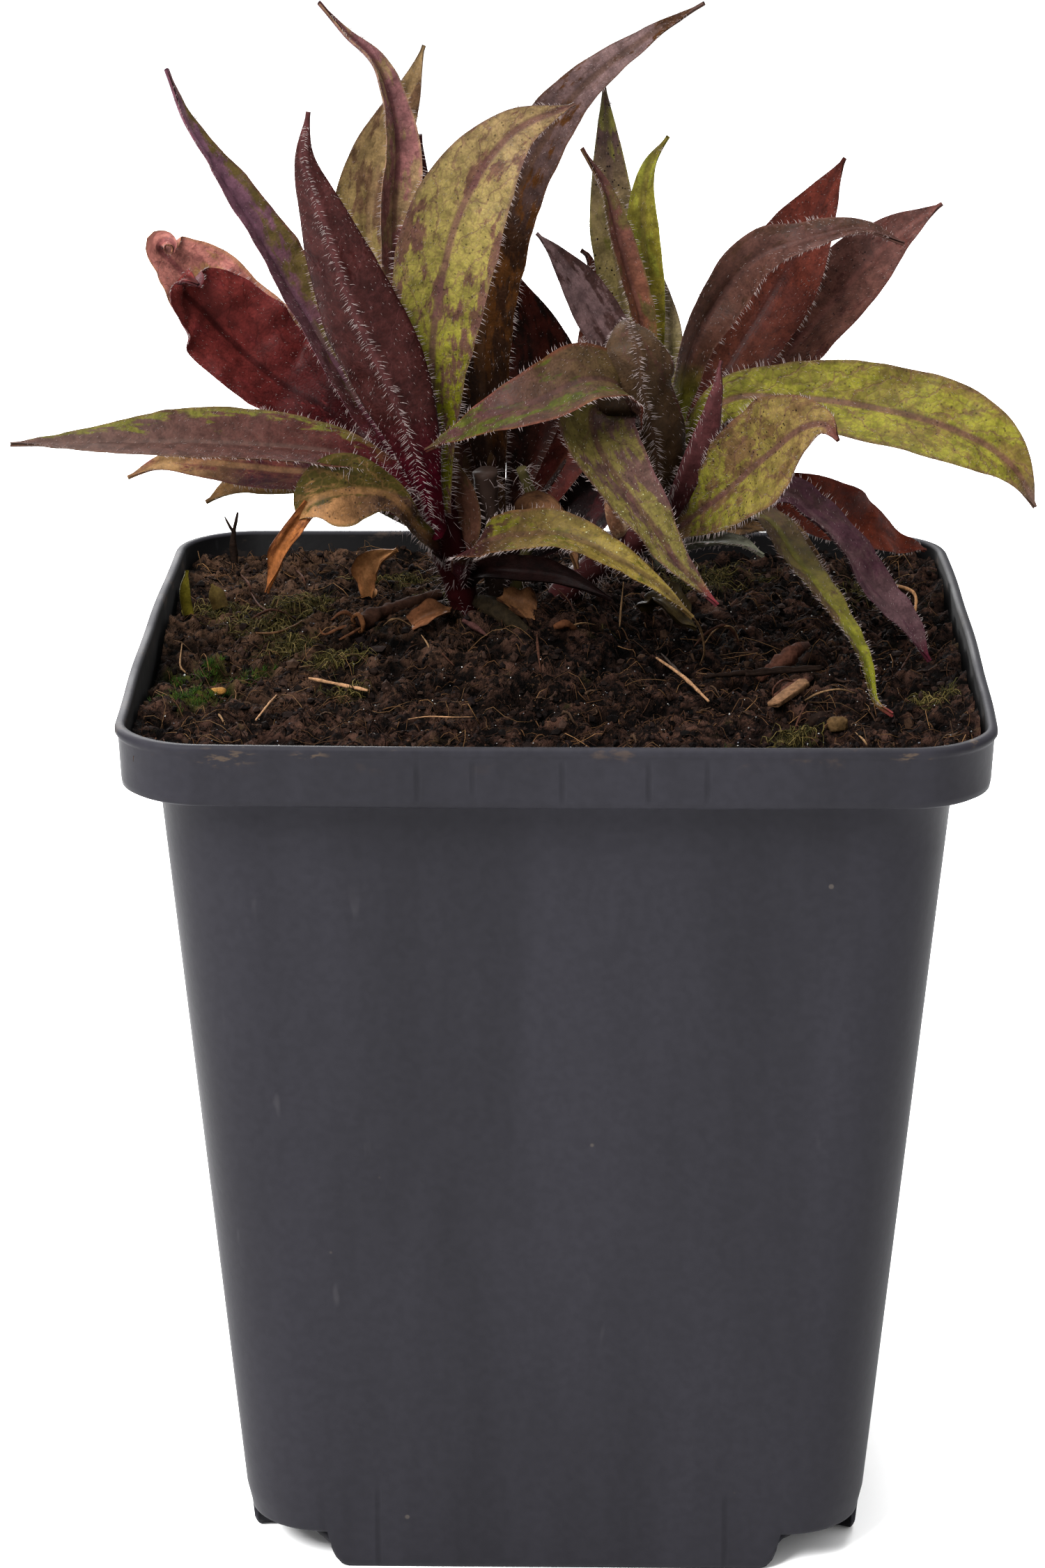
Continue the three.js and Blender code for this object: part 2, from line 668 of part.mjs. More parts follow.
function column(x, y, radius, z0, z1, sides = 12) {
  const ring = (z) =>
    Array.from({ length: sides }, (_, i) => {
      const angle = (i / sides) * 2 * Math.PI;
      return new THREE.Vector3(x + radius * Math.cos(angle), y + radius * Math.sin(angle), z);
    });
  return loft([ring(z0), ring(z1)]);
}

function drainHoles() {
  const signs = [-1, 1];
  const corners = signs.flatMap((x) =>
    signs.map((y) => column(x * CORNER_HOLE_AT, y * CORNER_HOLE_AT, CORNER_HOLE_RADIUS, -1, 10)),
  );
  const arms = signs.flatMap((side) => [
    column(side * SUMP_HOLE_AT, 0, SUMP_HOLE_RADIUS, -1, 4),
    column(0, side * SUMP_HOLE_AT, SUMP_HOLE_RADIUS, -1, 4),
  ]);
  return union([...corners, ...arms]);
}

function potSolid() {
  const signs = [-1, 1];
  const cuts = signs.flatMap((x) => signs.map((y) => cornerCut(x, y)));
  return outerShell().subtract(union([cavity(0), sump(0), ...cuts, drainHoles()]));
}

// Soil

function swell({ x, y, height, spread }, px, py) {
  const distance = (px - x) ** 2 + (py - y) ** 2;
  return height * Math.exp(-distance / (2 * spread * spread));
}

function soilHeight(x, y) {
  const lumps = 0.5 * Math.sin(0.55 * x + 1) * Math.cos(0.6 * y) + 0.35 * Math.sin(0.95 * x - 0.4 * y);
  return SOIL_LEVEL + lumps + swell(MOUND, x, y) + swell(DIP, x, y);
}

// The lumpy top of the soil as a block wider than the pot.
function soilBlock() {
  const side = RIM_WIDTH + 4;
  const at = (i) => (i / SOIL_CELLS - 0.5) * side;
  const row = SOIL_CELLS + 1;
  const points = [];
  for (let i = 0; i < row; i++) {
    for (let j = 0; j < row; j++) {
      points.push(new THREE.Vector3(at(j), at(i), soilHeight(at(j), at(i))));
    }
  }
  const faces = [];
  for (let i = 0; i < SOIL_CELLS; i++) {
    for (let j = 0; j < SOIL_CELLS; j++) {
      const a = i * row + j;
      faces.push([a, a + 1, a + row + 1], [a, a + row + 1, a + row]);
    }
  }
  const border = [];
  for (let k = 0; k < SOIL_CELLS; k++) border.push(k);
  for (let k = 0; k < SOIL_CELLS; k++) border.push(k * row + SOIL_CELLS);
  for (let k = SOIL_CELLS; k > 0; k--) border.push(SOIL_CELLS * row + k);
  for (let k = SOIL_CELLS; k > 0; k--) border.push(k * row);
  const skirt = points.length;
  border.forEach((index) => points.push(new THREE.Vector3(points[index].x, points[index].y, 0)));
  const base = points.push(new THREE.Vector3(0, 0, 0)) - 1;
  border.forEach((index, k) => {
    const next = (k + 1) % border.length;
    faces.push([index, skirt + k, skirt + next], [index, skirt + next, border[next]]);
    faces.push([base, skirt + next, skirt + k]);
  });
  return solidFrom(points, faces);
}

// Stems, straws and roots

function ringAround(centre, across, up, radius, sides) {
  return Array.from({ length: sides }, (_, i) => {
    const angle = (i / sides) * 2 * Math.PI;
    return centre
      .clone()
      .addScaledVector(across, radius * Math.cos(angle))
      .addScaledVector(up, radius * Math.sin(angle));
  });
}

// A round rod along points [x, y, z, radius]; extra widens it and carries both ends on.
function rod(points, sides, extra = 0) {
  const centres = points.map(vector);
  let across = new THREE.Vector3(1, 0, 0);
  const rings = centres.map((centre, i) => {
    const before = centres[Math.max(i - 1, 0)];
    const after = centres[Math.min(i + 1, centres.length - 1)];
    const along = after.clone().sub(before).normalize();
    const up = along.clone().cross(across).normalize();
    across = up.clone().cross(along).normalize();
    const end = i === 0 ? -extra : i === centres.length - 1 ? extra : 0;
    return ringAround(centre.clone().addScaledVector(along, end), across, up, points[i][3] + extra, sides);
  });
  return loft(rings);
}

const onSoil = (run) => run.map(([x, y, lift, radius]) => [x, y, soilHeight(x, y) + lift, radius]);

// Leaves

function halfWidth(leaf, t) {
  const full = leaf.width / 2;
  const stalk = Math.min(1.3, full);
  if (t < leaf.peak) return stalk + (full - stalk) * Math.sin((Math.PI / 2) * (t / leaf.peak)) ** 1.6;
  const past = (t - leaf.peak) / (1 - leaf.peak);
  return Math.max(TIP_HALF_WIDTH, full * Math.cos((Math.PI / 2) * past) ** 1.1);
}

// How far out and up a half blade reaches at a share of its width, bent by its fold and curl.
function bend(leaf, share) {
  const { fold, curl } = leaf;
  if (curl === 0) return { out: share * Math.cos(fold), rise: share * Math.sin(fold) };
  return {
    out: (Math.sin(fold + curl * share) - Math.sin(fold)) / curl,
    rise: (Math.cos(fold) - Math.cos(fold + curl * share)) / curl,
  };
}

function bladeFrame(leaf, spine, t) {
  const along = spine.getTangentAt(t);
  const face = vector(leaf.face[0]).lerp(vector(leaf.face[1]), t);
  const normal = face.addScaledVector(along, -face.dot(along)).normalize();
  const side = along.clone().cross(normal);
  return { centre: spine.getPointAt(t), normal, side };
}

function bladeThickness(t, s) {
  const root = Math.max(0, 1 - t / 0.25);
  return BLADE + (1 - Math.abs(s)) * MIDRIB + ROOT_THICKNESS * root * root;
}

// The upper and lower point of the blade at t along it and s across it.
function bladePoints(leaf, frame, t, s) {
  const share = Math.abs(s);
  const half = halfWidth(leaf, t);
  const { out, rise } = bend(leaf, share);
  const ripple = Math.sin(9 * t + 2.4 * Math.sign(s)) * Math.sin(Math.PI * t);
  const height = half * rise + leaf.wave * ripple * share * share;
  const middle = frame.centre
    .clone()
    .addScaledVector(frame.side, Math.sign(s) * half * out)
    .addScaledVector(frame.normal, height);
  const slope = s === 0 ? 0 : leaf.fold + leaf.curl * share;
  const outward = frame.normal
    .clone()
    .multiplyScalar(Math.cos(slope))
    .addScaledVector(frame.side, -Math.sign(s) * Math.sin(slope));
  const thickness = bladeThickness(t, s);
  return {
    upper: middle.clone().addScaledVector(outward, BLADE / 2),
    lower: middle.clone().addScaledVector(outward, BLADE / 2 - thickness),
  };
}

function bladeFaces(stations, across) {
  const lowerStart = (stations + 1) * across;
  const faces = [];
  const wall = (a, b) => {
    faces.push([a, a + lowerStart, b + lowerStart], [a, b + lowerStart, b]);
  };
  for (let i = 0; i < stations; i++) {
    for (let j = 0; j + 1 < across; j++) {
      const a = i * across + j;
      const quad = [a, a + 1, a + across + 1, a + across];
      const [p, q, r, s] = quad;
      faces.push([p, q, r], [p, r, s]);
      faces.push([p, r, q].map((v) => v + lowerStart), [p, s, r].map((v) => v + lowerStart));
    }
    wall((i + 1) * across, i * across);
    wall(i * across + across - 1, (i + 1) * across + across - 1);
  }
  for (let j = 0; j + 1 < across; j++) {
    wall(j, j + 1);
    wall(stations * across + j + 1, stations * across + j);
  }
  return faces;
}

function bladeSolid(leaf) {
  const spine = new THREE.CatmullRomCurve3(leaf.path.map(vector), false, "catmullrom", 0.5);
  const across = leaf.width > SLIM_WIDTH ? BROAD_ACROSS : SLIM_ACROSS;
  const uppers = [];
  const lowers = [];
  for (let i = 0; i <= BLADE_STATIONS; i++) {
    const t = i / BLADE_STATIONS;
    const frame = bladeFrame(leaf, spine, t);
    for (const s of across) {
      const { upper, lower } = bladePoints(leaf, frame, t, s);
      uppers.push(upper);
      lowers.push(lower);
    }
  }
  return solidFrom([...uppers, ...lowers], bladeFaces(BLADE_STATIONS, across.length));
}

function shootSolid(stems, leaves) {
  const rods = Object.values(stems).map((points) => rod(points, STEM_SIDES));
  return union([...rods, ...leaves.map(bladeSolid)]);
}

// Chips and seeds

function seededRandom(seed) {
  let state = seed;
  return () => {
    state = (state * 16807) % 2147483647;
    return state / 2147483647;
  };
}

function chipSolid({ at, size, turn }, random) {
  const centre = new THREE.Vector3(at[0], at[1], soilHeight(at[0], at[1]) + at[2]);
  const levels = [-1, -0.45, 0.45, 1];
  const rings = levels.map((level) => {
    const shrink = Math.abs(level) === 1 ? 0.6 : 1;
    return Array.from({ length: 8 }, (_, i) => {
      const angle = (i / 8) * 2 * Math.PI;
      const reach = shrink * (0.88 + 0.12 * random());
      const x = (size[0] / 2) * reach * Math.cos(angle);
      const y = (size[1] / 2) * reach * Math.sin(angle);
      const spot = new THREE.Vector3(x, y, (size[2] / 2) * level);
      return spot.applyAxisAngle(new THREE.Vector3(0, 0, 1), turn).add(centre);
    });
  });
  return loft(rings);
}

// Assembly

const root = new THREE.Group();

function addNode(name, solid, color, roughness) {
  const mesh = solid.getMesh();
  const geometry = new THREE.BufferGeometry();
  geometry.setAttribute("position", new THREE.BufferAttribute(mesh.vertProperties, 3));
  geometry.setIndex(new THREE.BufferAttribute(mesh.triVerts, 1));
  const node = new THREE.Mesh(geometry, new THREE.MeshStandardMaterial({ color, roughness, metalness: 0 }));
  node.name = name;
  root.add(node);
}

function addLyingThings(hollows) {
  for (const [name, { color, run }] of Object.entries(LYING)) {
    const points = onSoil(run);
    addNode(name, rod(points, 6), color, 0.9);
    hollows.push(rod(points, 6, GAP));
  }
  addNode("twig_upright", rod(UPRIGHT_TWIG, 6), COLORS.twig, 0.9);
  hollows.push(rod(UPRIGHT_TWIG, 6, GAP));
  addNode("dead_stem", rod(DEAD_STEM, 7), COLORS.twig, 0.9);
  hollows.push(rod(DEAD_STEM, 7, GAP));
}

function addChips() {
  const random = seededRandom(CHIP_SEED);
  for (const [name, chip] of Object.entries(CHIPS)) {
    addNode(name, chipSolid(chip, random), chip.color, 0.9);
  }
}

function addPlant(hollows) {
  addNode("shoot_left", shootSolid(LEFT_STEMS, LEFT_LEAVES), COLORS.leftShoot, 0.6);
  addNode("shoot_back", shootSolid(BACK_STEMS, BACK_LEAVES), COLORS.backShoot, 0.6);
  addNode("shoot_right", shootSolid(RIGHT_STEMS, RIGHT_LEAVES), COLORS.rightShoot, 0.6);
  for (const stems of [LEFT_STEMS, BACK_STEMS, RIGHT_STEMS]) {
    for (const points of Object.values(stems)) hollows.push(rod(points, STEM_SIDES, GAP));
  }
  for (const [name, { color, leaf }] of Object.entries(DEAD_LEAVES)) {
    addNode(name, bladeSolid(leaf), color, 0.9);
  }
}

const hollows = [];
addNode("pot", potSolid(), COLORS.pot, 0.55);
addPlant(hollows);
addLyingThings(hollows);
addChips();
addNode("soil", soilBlock().intersect(cavity(GAP).add(sump(GAP))).subtract(union(hollows)), COLORS.soil, 1);

export default root;
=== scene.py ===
"""A dark-leaved campion in a square nursery pot, with its hairs, soil, moss and litter.

Shapes are laid out in millimetres, in the frame of the CAD part, and made in metres.
"""

import math

import bpy
import numpy as np
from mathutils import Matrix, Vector


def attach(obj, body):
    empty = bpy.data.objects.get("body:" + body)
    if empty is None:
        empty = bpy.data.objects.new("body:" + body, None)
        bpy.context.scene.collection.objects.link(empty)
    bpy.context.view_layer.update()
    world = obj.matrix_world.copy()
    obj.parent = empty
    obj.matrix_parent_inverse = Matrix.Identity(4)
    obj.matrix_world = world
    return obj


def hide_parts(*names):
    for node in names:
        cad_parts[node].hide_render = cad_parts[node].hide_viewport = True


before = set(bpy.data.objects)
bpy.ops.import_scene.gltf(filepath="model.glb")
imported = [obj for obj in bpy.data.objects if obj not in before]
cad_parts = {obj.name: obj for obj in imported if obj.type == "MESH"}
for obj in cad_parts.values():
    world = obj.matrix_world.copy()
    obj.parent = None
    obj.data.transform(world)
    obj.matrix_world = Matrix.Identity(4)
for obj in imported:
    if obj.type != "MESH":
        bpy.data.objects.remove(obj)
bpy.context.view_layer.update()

MM = 0.001

# Camera, as solved from the pot's rim and foot
CAMERA_AT = (4.6, -594.5, 279.1)
CAMERA_PITCH = 17.07
CAMERA_YAW = -0.905
CAMERA_LENS = 105.8

# Pot
POT_HEIGHT = 118.0
RIM_WIDTH = 110.0
RIM_CORNER = 11.0
RIM_BAND = 8.0
RIM_BOW = 0.5
WALL = 1.1
SHOULDER_WIDTH = 100.3
SHOULDER_CORNER = 12.0
FOOT_WIDTH = 80.9
FOOT_CORNER = 10.0
CORNER_LIFT = 5.0
LIFT_FADES_AT = 9.0
FOOT_ARM = (27.2, 29.8)
BAND_FOOT = POT_HEIGHT - RIM_BAND
# Drain holes, as x, y and radius
DRAIN_HOLES = [(34, 34, 2.6), (34, -34, 2.6), (-34, 34, 2.6), (-34, -34, 2.6)]
DRAIN_HOLES += [(21, 0, 3.2), (-21, 0, 3.2), (0, 21, 3.2), (0, -21, 3.2)]
# Dried dirt on the rim, as its place and how far it reaches
DIRT_ON_RIM = [((-41, -55, 116.6), 6), ((-30, -55, 117), 3)]
DIRT_ON_RIM += [((51.5, -51.5, 118), 2.6), ((44, -55, 117), 3.5)]
# Upright flow marks and creases in the front wall, as x and the heights between which they show; the wall
# is darkened along them, painted shade of their small steps
MARK_LINES = [(-16.8, 110, 117), (-10, 111, 117), (1, 110, 117), (11.6, 110, 117), (18.8, 110, 117)]
MARK_LINES += [(-23.2, -3, 13), (22.6, -3, 12)]

# Soil
SOIL_LEVEL = 114.2
MOUND = {"x": -6, "y": 9, "height": 5.5, "spread": 15}
DIP = {"x": -47, "y": -9, "height": -2.4, "spread": 7}
SOIL_HALF = 53.2
SOIL_FOOT = 7.0
SOIL_CELLS = 250
SOIL_CORNER = 9.5
# Patches of moss, as x, y and size
BRIGHT_MOSS = [(-41.2, -7.5, 3.4), (-46.5, -4, 3), (-47.3, -22.4, 4.6)]
BRIGHT_MOSS += [(-51, -7.4, 2.6), (-43.9, -14.3, 2.6)]
OLIVE_MOSS = [
    (-40.2, 13, 5), (-35.1, 22, 5), (-35.7, 2, 4.5), (-15.5, 14.5, 4),
    (-29.7, -5.5, 4), (-45.7, 21.8, 4.5), (-24, 36, 5), (-27, -20, 3),
    (30.8, -38.3, 3), (48.2, -21.6, 3.2), (20, 40, 6), (42, 30, 5),
]

# The share of a colour as seen that a surface needs as its own, in this light
BASE_SHARE = 0.194
# How much further from grey a surface's own colour is
VIVID = 1.04

# How strongly each surface mirrors the white studio
LEAF_GLOSS = 0.025
HAIR_GLOSS = 0.05
POT_GLOSS = 0.03
SOIL_GLOSS = 0.015
LITTER_GLOSS = 0.02

# Colours as seen, 0 to 255
HAIR = (222, 202, 198)
LEAF_SPECK = (36, 24, 24)
# Painted glint on damp leaves
PAINTED_GLINT = (236, 238, 190)
CHARCOAL = (54, 53, 59)
PALE_CHARCOAL = (63, 62, 69)
# The pot's inside, darker as painted shade
POT_INSIDE_SHADE = (22, 21, 22)
DUST = (112, 94, 80)
RIM_DIRT = (130, 110, 90)
SCUFF = (104, 102, 106)
POT_SPECK = (112, 104, 98)
DARK_PEAT = (13, 9, 8)
BROWN_PEAT = (74, 52, 43)
PALE_PEAT = (98, 74, 56)
PEAT_FIBRE = (112, 84, 62)
DARK_MOSS = (26, 30, 12)
MOSS = (78, 80, 32)
MAROON = (92, 50, 50)
DEEP_RED = (66, 20, 23)
OLIVE = (118, 102, 62)
TAN = (196, 144, 98)
BARK = (120, 86, 60)
STRAW = (206, 158, 118)
BLACK_BROWN = (40, 28, 22)
STUMP = (84, 66, 58)
DRY_STEM = (90, 82, 50)
STEM_LIP = (146, 96, 62)
STEM_SHRED = (122, 80, 56)

# How a leaf is described. Shape: the midrib from root to tip; the full width; the way its upper face
# looks, as one direction or as those at root and tip; the angle each half is folded up and its
# further curl to the edge; the waving of the edge; where it is widest; how late it widens; and its
# points per mm of length. Look: the ground at root and tip, the patches over it, how far they spread
# and which half they lean to; where the tip's colour begins; tints of the stalk, the very end, the
# ribs, the edge and the underside; how strong veins, dots, painted glints of damp spots and creases
# are; how torn the edge is; how many hairs grow on the ridge underneath and as long silk at the
# root; and whether the leaf is dry, which leaves it without hairs.


def new_leaf(name, path, width, face, fold=0.2, curl=0, wave=0.3, peak=0.5, neck=1.6, rows=1.3, **look):
    ends = face if isinstance(face[0], list) else [face, face]
    return {
        "name": name, "path": path, "width": width, "face": ends, "fold": fold, "curl": curl,
        "wave": wave, "peak": peak, "neck": neck, "rows": rows, "look": look,
    }


LEFT_LEAVES = [
    new_leaf(
        "tall_curved",
        [
            [-16, 3, 133], [-25.3, 2, 146.5], [-34.3, 2, 162], [-41.8, 0, 175.5], [-47.4, -3, 185.5],
            [-50.2, -5, 193.5],
        ],
        width=9, face=[[0.5, -0.8, 0.3], [0.7, -0.6, 0.4]], fold=0.55, peak=0.4,
        root=(102, 62, 56), tip=(142, 100, 118), patch=(112, 94, 54), spread=0.3, lean=0.55,
        stalk=(92, 20, 36), edge=(112, 60, 64), ridge=0.6,
    ),
    new_leaf(
        "front_upright",
        [
            [-16, 0, 132], [-20, -8, 148], [-26.3, -11, 163.5], [-30.3, -12, 176], [-32.3, -12, 183],
            [-31.8, -11, 189],
        ],
        width=12, face=[[0.2, 1, 0.2], [0, 1, 0.2]], fold=0.25, curl=0.3, wave=0.4, peak=0.48,
        root=(70, 38, 36), tip=(78, 46, 46), patch=(60, 22, 20), spread=0.3, stalk=(92, 20, 36),
        rib=(116, 70, 70), vein=0.5, under=(72, 36, 33), ridge=1.5,
    ),
    new_leaf(
        "top_twisted",
        [
            [-16, 3, 134], [-21, 8, 157.5], [-22, 9, 170], [-21.5, 9, 181.5], [-23.5, 7, 191.5],
            [-27.5, 5, 196.5], [-31, 3, 201],
        ],
        width=7, face=[[0.1, -1, 0.1], [0.5, -0.6, 0.6]], fold=0.5, curl=0.3, wave=0.6, peak=0.55,
        root=(192, 126, 112), tip=(162, 112, 114), patch=(178, 146, 108), spread=0.38, rib=(96, 50, 52),
        vein=0.6,
    ),
    new_leaf(
        "olive_behind",
        [
            [-16, 5, 134], [-23, 13, 156.5], [-25.5, 15, 168], [-24, 15, 178.5], [-20, 14, 188],
            [-18, 13, 194],
        ],
        width=10.5, face=[0, -1, 0.2], curl=0.2, wave=0.5, peak=0.6,
        root=(128, 118, 52), tip=(168, 138, 98), patch=(118, 88, 66), spread=0.42,
    ),
    new_leaf(
        "inner_dark",
        [[-15.5, 4, 134], [-17.5, 11, 160.5], [-18, 12, 173.5], [-18.5, 12, 182.5]],
        width=5.5, face=[0, -1, 0.1], fold=0.3, wave=0.2,
        root=(66, 20, 23), tip=(92, 50, 50), patch=(66, 20, 23), spread=0.3,
    ),
    new_leaf(
        "big_green",
        [
            [-15.5, 0, 134], [-16.5, -5, 155.5], [-14.5, -7, 169.5], [-11.5, -7, 178], [-6, -6, 185.5],
            [2, -4, 189],
        ],
        width=13.5, face=[[0.1, -1, 0.2], [-0.1, -1, 0.2]], curl=0.15, wave=0.5, peak=0.6,
        root=(150, 150, 36), tip=(166, 140, 98), patch=(116, 84, 66), spread=0.4, rib=(112, 74, 72),
        vein=0.9, edge=(116, 82, 74), dots=0.8,
    ),
    new_leaf(
        "long_side",
        [
            [-16, 0, 135], [-26.5, -6, 142.8], [-40.5, -9, 145.3], [-51.5, -11, 146], [-63.5, -12, 146.2],
            [-71, -12, 146],
        ],
        width=11, face=[0, -0.5, 0.9], fold=0.3, wave=0.4, peak=0.45,
        root=(86, 42, 38), tip=(100, 76, 68), patch=(116, 112, 48), spread=-0.1, lean=0.75,
        stalk=(92, 28, 38), vein=0.5, edge=(110, 80, 60), silk=40,
    ),
    new_leaf(
        "low_side",
        [
            [-16, 1, 132], [-28, 2, 138], [-39, 2, 139.5], [-47.5, 1, 140.5], [-53, 0, 140.5],
            [-57, -1, 139],
        ],
        width=8, face=[0, -0.7, 0.7], wave=0.4,
        root=(84, 36, 44), tip=(180, 140, 96), patch=(120, 64, 58), spread=0.42, late=0.62,
        stalk=(92, 20, 36), silk=40,
    ),
    new_leaf(
        "short_side",
        [[-16, 4, 130], [-28.5, 9, 135.5], [-38, 10, 136], [-43.5, 9, 135.5], [-47.5, 8, 133.5]],
        width=5, face=[0, -0.7, 0.7], peak=0.72,
        root=(104, 88, 44), tip=(134, 100, 64), patch=(112, 98, 50), spread=0.3, silk=40,
    ),
    new_leaf(
        "red_front",
        [
            [-15, 5, 132], [-30, 9, 145], [-38, 11, 149.5], [-44.5, 11, 155.5], [-48, 10, 159.5],
            [-50, 7.5, 162.5], [-49, 4.5, 164.5], [-47.5, 3.5, 164],
        ],
        width=15.5, face=[[0.2, -0.8, 0.6], [0.4, -0.8, 0.4]], fold=0.3, curl=0.2, wave=0.5, peak=0.72,
        root=(58, 12, 14), tip=(132, 56, 52), patch=(112, 44, 44), spread=0.2, late=0.4, rib=(34, 6, 8),
        vein=0.5, under=(104, 70, 76), crease=2.6, silk=40,
    ),
    new_leaf(
        "red_back",
        [
            [-15.5, 7, 133], [-31.5, 14, 146], [-41, 17, 153.5], [-48.5, 17.5, 160.5], [-52.2, 17, 164.2],
            [-53.7, 16.4, 165.9], [-53.6, 15.6, 167.2], [-52.5, 15.2, 167.7], [-51.6, 14.8, 167.1],
            [-51.7, 14.6, 166.2],
        ],
        width=13, face=[[0.2, -0.8, 0.5], [0.4, -0.8, 0.4]], fold=0.35, curl=0.2, wave=0.5, peak=0.76,
        rows=3,
        root=(84, 36, 36), tip=(214, 140, 128), patch=(196, 146, 104), spread=0.25, rib=(116, 52, 62),
        vein=0.6, crease=2.2, silk=40,
    ),
    new_leaf(
        "withered",
        [
            [-14, 5.5, 126], [-18, -4, 132.5], [-21.5, -8, 138], [-25.5, -10, 139.5], [-29, -11.5, 139.5],
            [-32, -12, 138.5], [-34, -12, 136],
        ],
        width=10, face=[[0.2, -0.9, 0.4], [-0.2, -0.95, 0.3]], fold=0.15, curl=0.2, wave=0.5, peak=0.8,
        neck=16,
        root=(84, 62, 50), tip=(170, 124, 82), patch=(84, 74, 34), spread=0.4, lean=0.4, late=0.64,
        stalk=(70, 30, 36), vein=0.6, under=(74, 50, 44), dots=1, crease=1.8,
    ),
    new_leaf(
        "withered_tail",
        [[-32, -12, 138], [-34, -12.5, 135.5], [-36, -13, 132.5], [-37, -13, 130], [-38, -13, 126.5]],
        width=3, face=[[0.3, -0.9, 0.2], [-0.6, -0.7, 0.2]], fold=0.3, curl=0.3, wave=0.4, peak=0.45,
        root=(184, 116, 70), tip=(164, 100, 56), patch=(116, 66, 38), spread=0.4, dry=1, crease=2.6,
        torn=0.14,
    ),
    new_leaf(
        "low_front",
        [
            [-13.5, 6, 124], [-11, -6, 131], [-5.5, -12, 134], [1, -16, 135], [7, -19, 133],
            [12.5, -20.5, 130], [17.5, -21, 125.5],
        ],
        width=6.6, face=[[0, -0.7, 0.7], [0.2, -0.7, 0.7]], fold=0.25, wave=0.5,
        root=(60, 34, 32), tip=(174, 152, 76), patch=(106, 102, 34), spread=0.3, late=0.34,
        stalk=(84, 40, 46), rib=(98, 70, 56), vein=0.6, edge=(124, 84, 58), dots=0.6, wet=1,
    ),
    new_leaf(
        "dead_under",
        [[-13, 6, 123.5], [-9.5, 2.5, 125.5], [-5, 0.5, 126], [1, -3, 126], [7, -6, 124]],
        width=4.5, face=[0, -0.8, 0.6], fold=0.3, curl=0.5,
        root=(34, 18, 16), tip=(44, 24, 22), patch=(30, 18, 16), spread=0.4, dry=1, torn=0.1,
    ),
    new_leaf(
        "crown_olive",
        [[-13.5, 5.5, 124], [-13, 3, 133], [-14.5, 2, 139], [-16, 2, 144]],
        width=6.5, face=[[-0.2, -1, 0.3], [-0.2, -1, 0.2]], curl=0.1,
        root=(134, 92, 74), tip=(102, 66, 52), patch=(94, 72, 46), spread=0.4, stalk=(96, 30, 42),
    ),
]
BACK_LEAVES = [
    new_leaf(
        "tall_brown",
        [
            [-8, 13, 128], [-10.5, 14, 152], [-8.8, 13.5, 165], [-5.8, 12, 174.5], [1.5, 9, 187.5],
            [11, 6, 196], [18.5, 3, 201],
        ],
        width=10.5, face=[[-0.2, -1, 0.2], [-0.4, -0.8, 0.2]], fold=0.25, curl=0.1, wave=0.4, peak=0.42,
        root=(46, 26, 14), tip=(134, 108, 106), patch=(84, 50, 22), spread=0.35, late=0.5,
        rib=(80, 56, 40), vein=0.6, ridge=0.6,
    ),
    new_leaf(
        "dark_red",
        [[-7, 12, 128], [-2.5, 17, 141], [-2.7, 20, 148.5], [-3.7, 22, 154.5], [-6, 23, 162]],
        width=12, face=[0, -1, 0.2], curl=0.1, peak=0.55,
        root=(62, 36, 28), tip=(84, 36, 28), patch=(42, 24, 18), spread=0.4, vein=0.6,
    ),
    new_leaf(
        "crown_back",
        [[-7, 12, 126], [-11, 13, 134.5], [-11.5, 15, 141.5], [-10.5, 16.5, 148.5], [-9, 17, 154.5]],
        width=9.5, face=[0, -1, 0.2], fold=0.15, curl=0.1,
        root=(84, 54, 44), tip=(96, 60, 50), patch=(100, 74, 50), spread=0.4,
    ),
    # Its colours are painted shade, darker than the leaf's own, for the deep shade of the crown
    new_leaf(
        "crown_fan",
        [[-7, 12, 124], [1, 14.5, 131.5], [3.5, 17, 134.5], [5.5, 19, 139], [7.5, 20, 145]],
        width=12, face=[[0, -1, 0.3], [0, -1, 0.2]], curl=0.1, wave=0.4, peak=0.45,
        root=(26, 8, 9), tip=(32, 11, 11), patch=(64, 24, 26), spread=0.3,
    ),
    new_leaf(
        "red_curl",
        [[-6.5, 12, 126], [5, 17, 146], [4.5, 20, 153], [5, 21.5, 159], [4, 21.5, 164], [3, 20, 165.5]],
        width=7.5, face=[[0, -1, 0.2], [0.2, -1, 0.2]], fold=0.4, curl=0.2, peak=0.45,
        root=(96, 42, 38), tip=(130, 74, 58), patch=(90, 46, 38), spread=0.4,
    ),
    new_leaf(
        "tan_dead",
        [[-6.5, 9, 128], [-3.5, 4, 133.5], [-1, 2, 133], [1.5, 1, 130], [2.5, 0, 126.5]],
        width=5, face=[[0, -0.7, 0.7], [0.3, -0.9, 0.2]], fold=0.3, curl=0.5, wave=0.5,
        root=(54, 32, 24), tip=(156, 112, 78), patch=(72, 48, 34), spread=0.4, dry=1, torn=0.14,
    ),
]
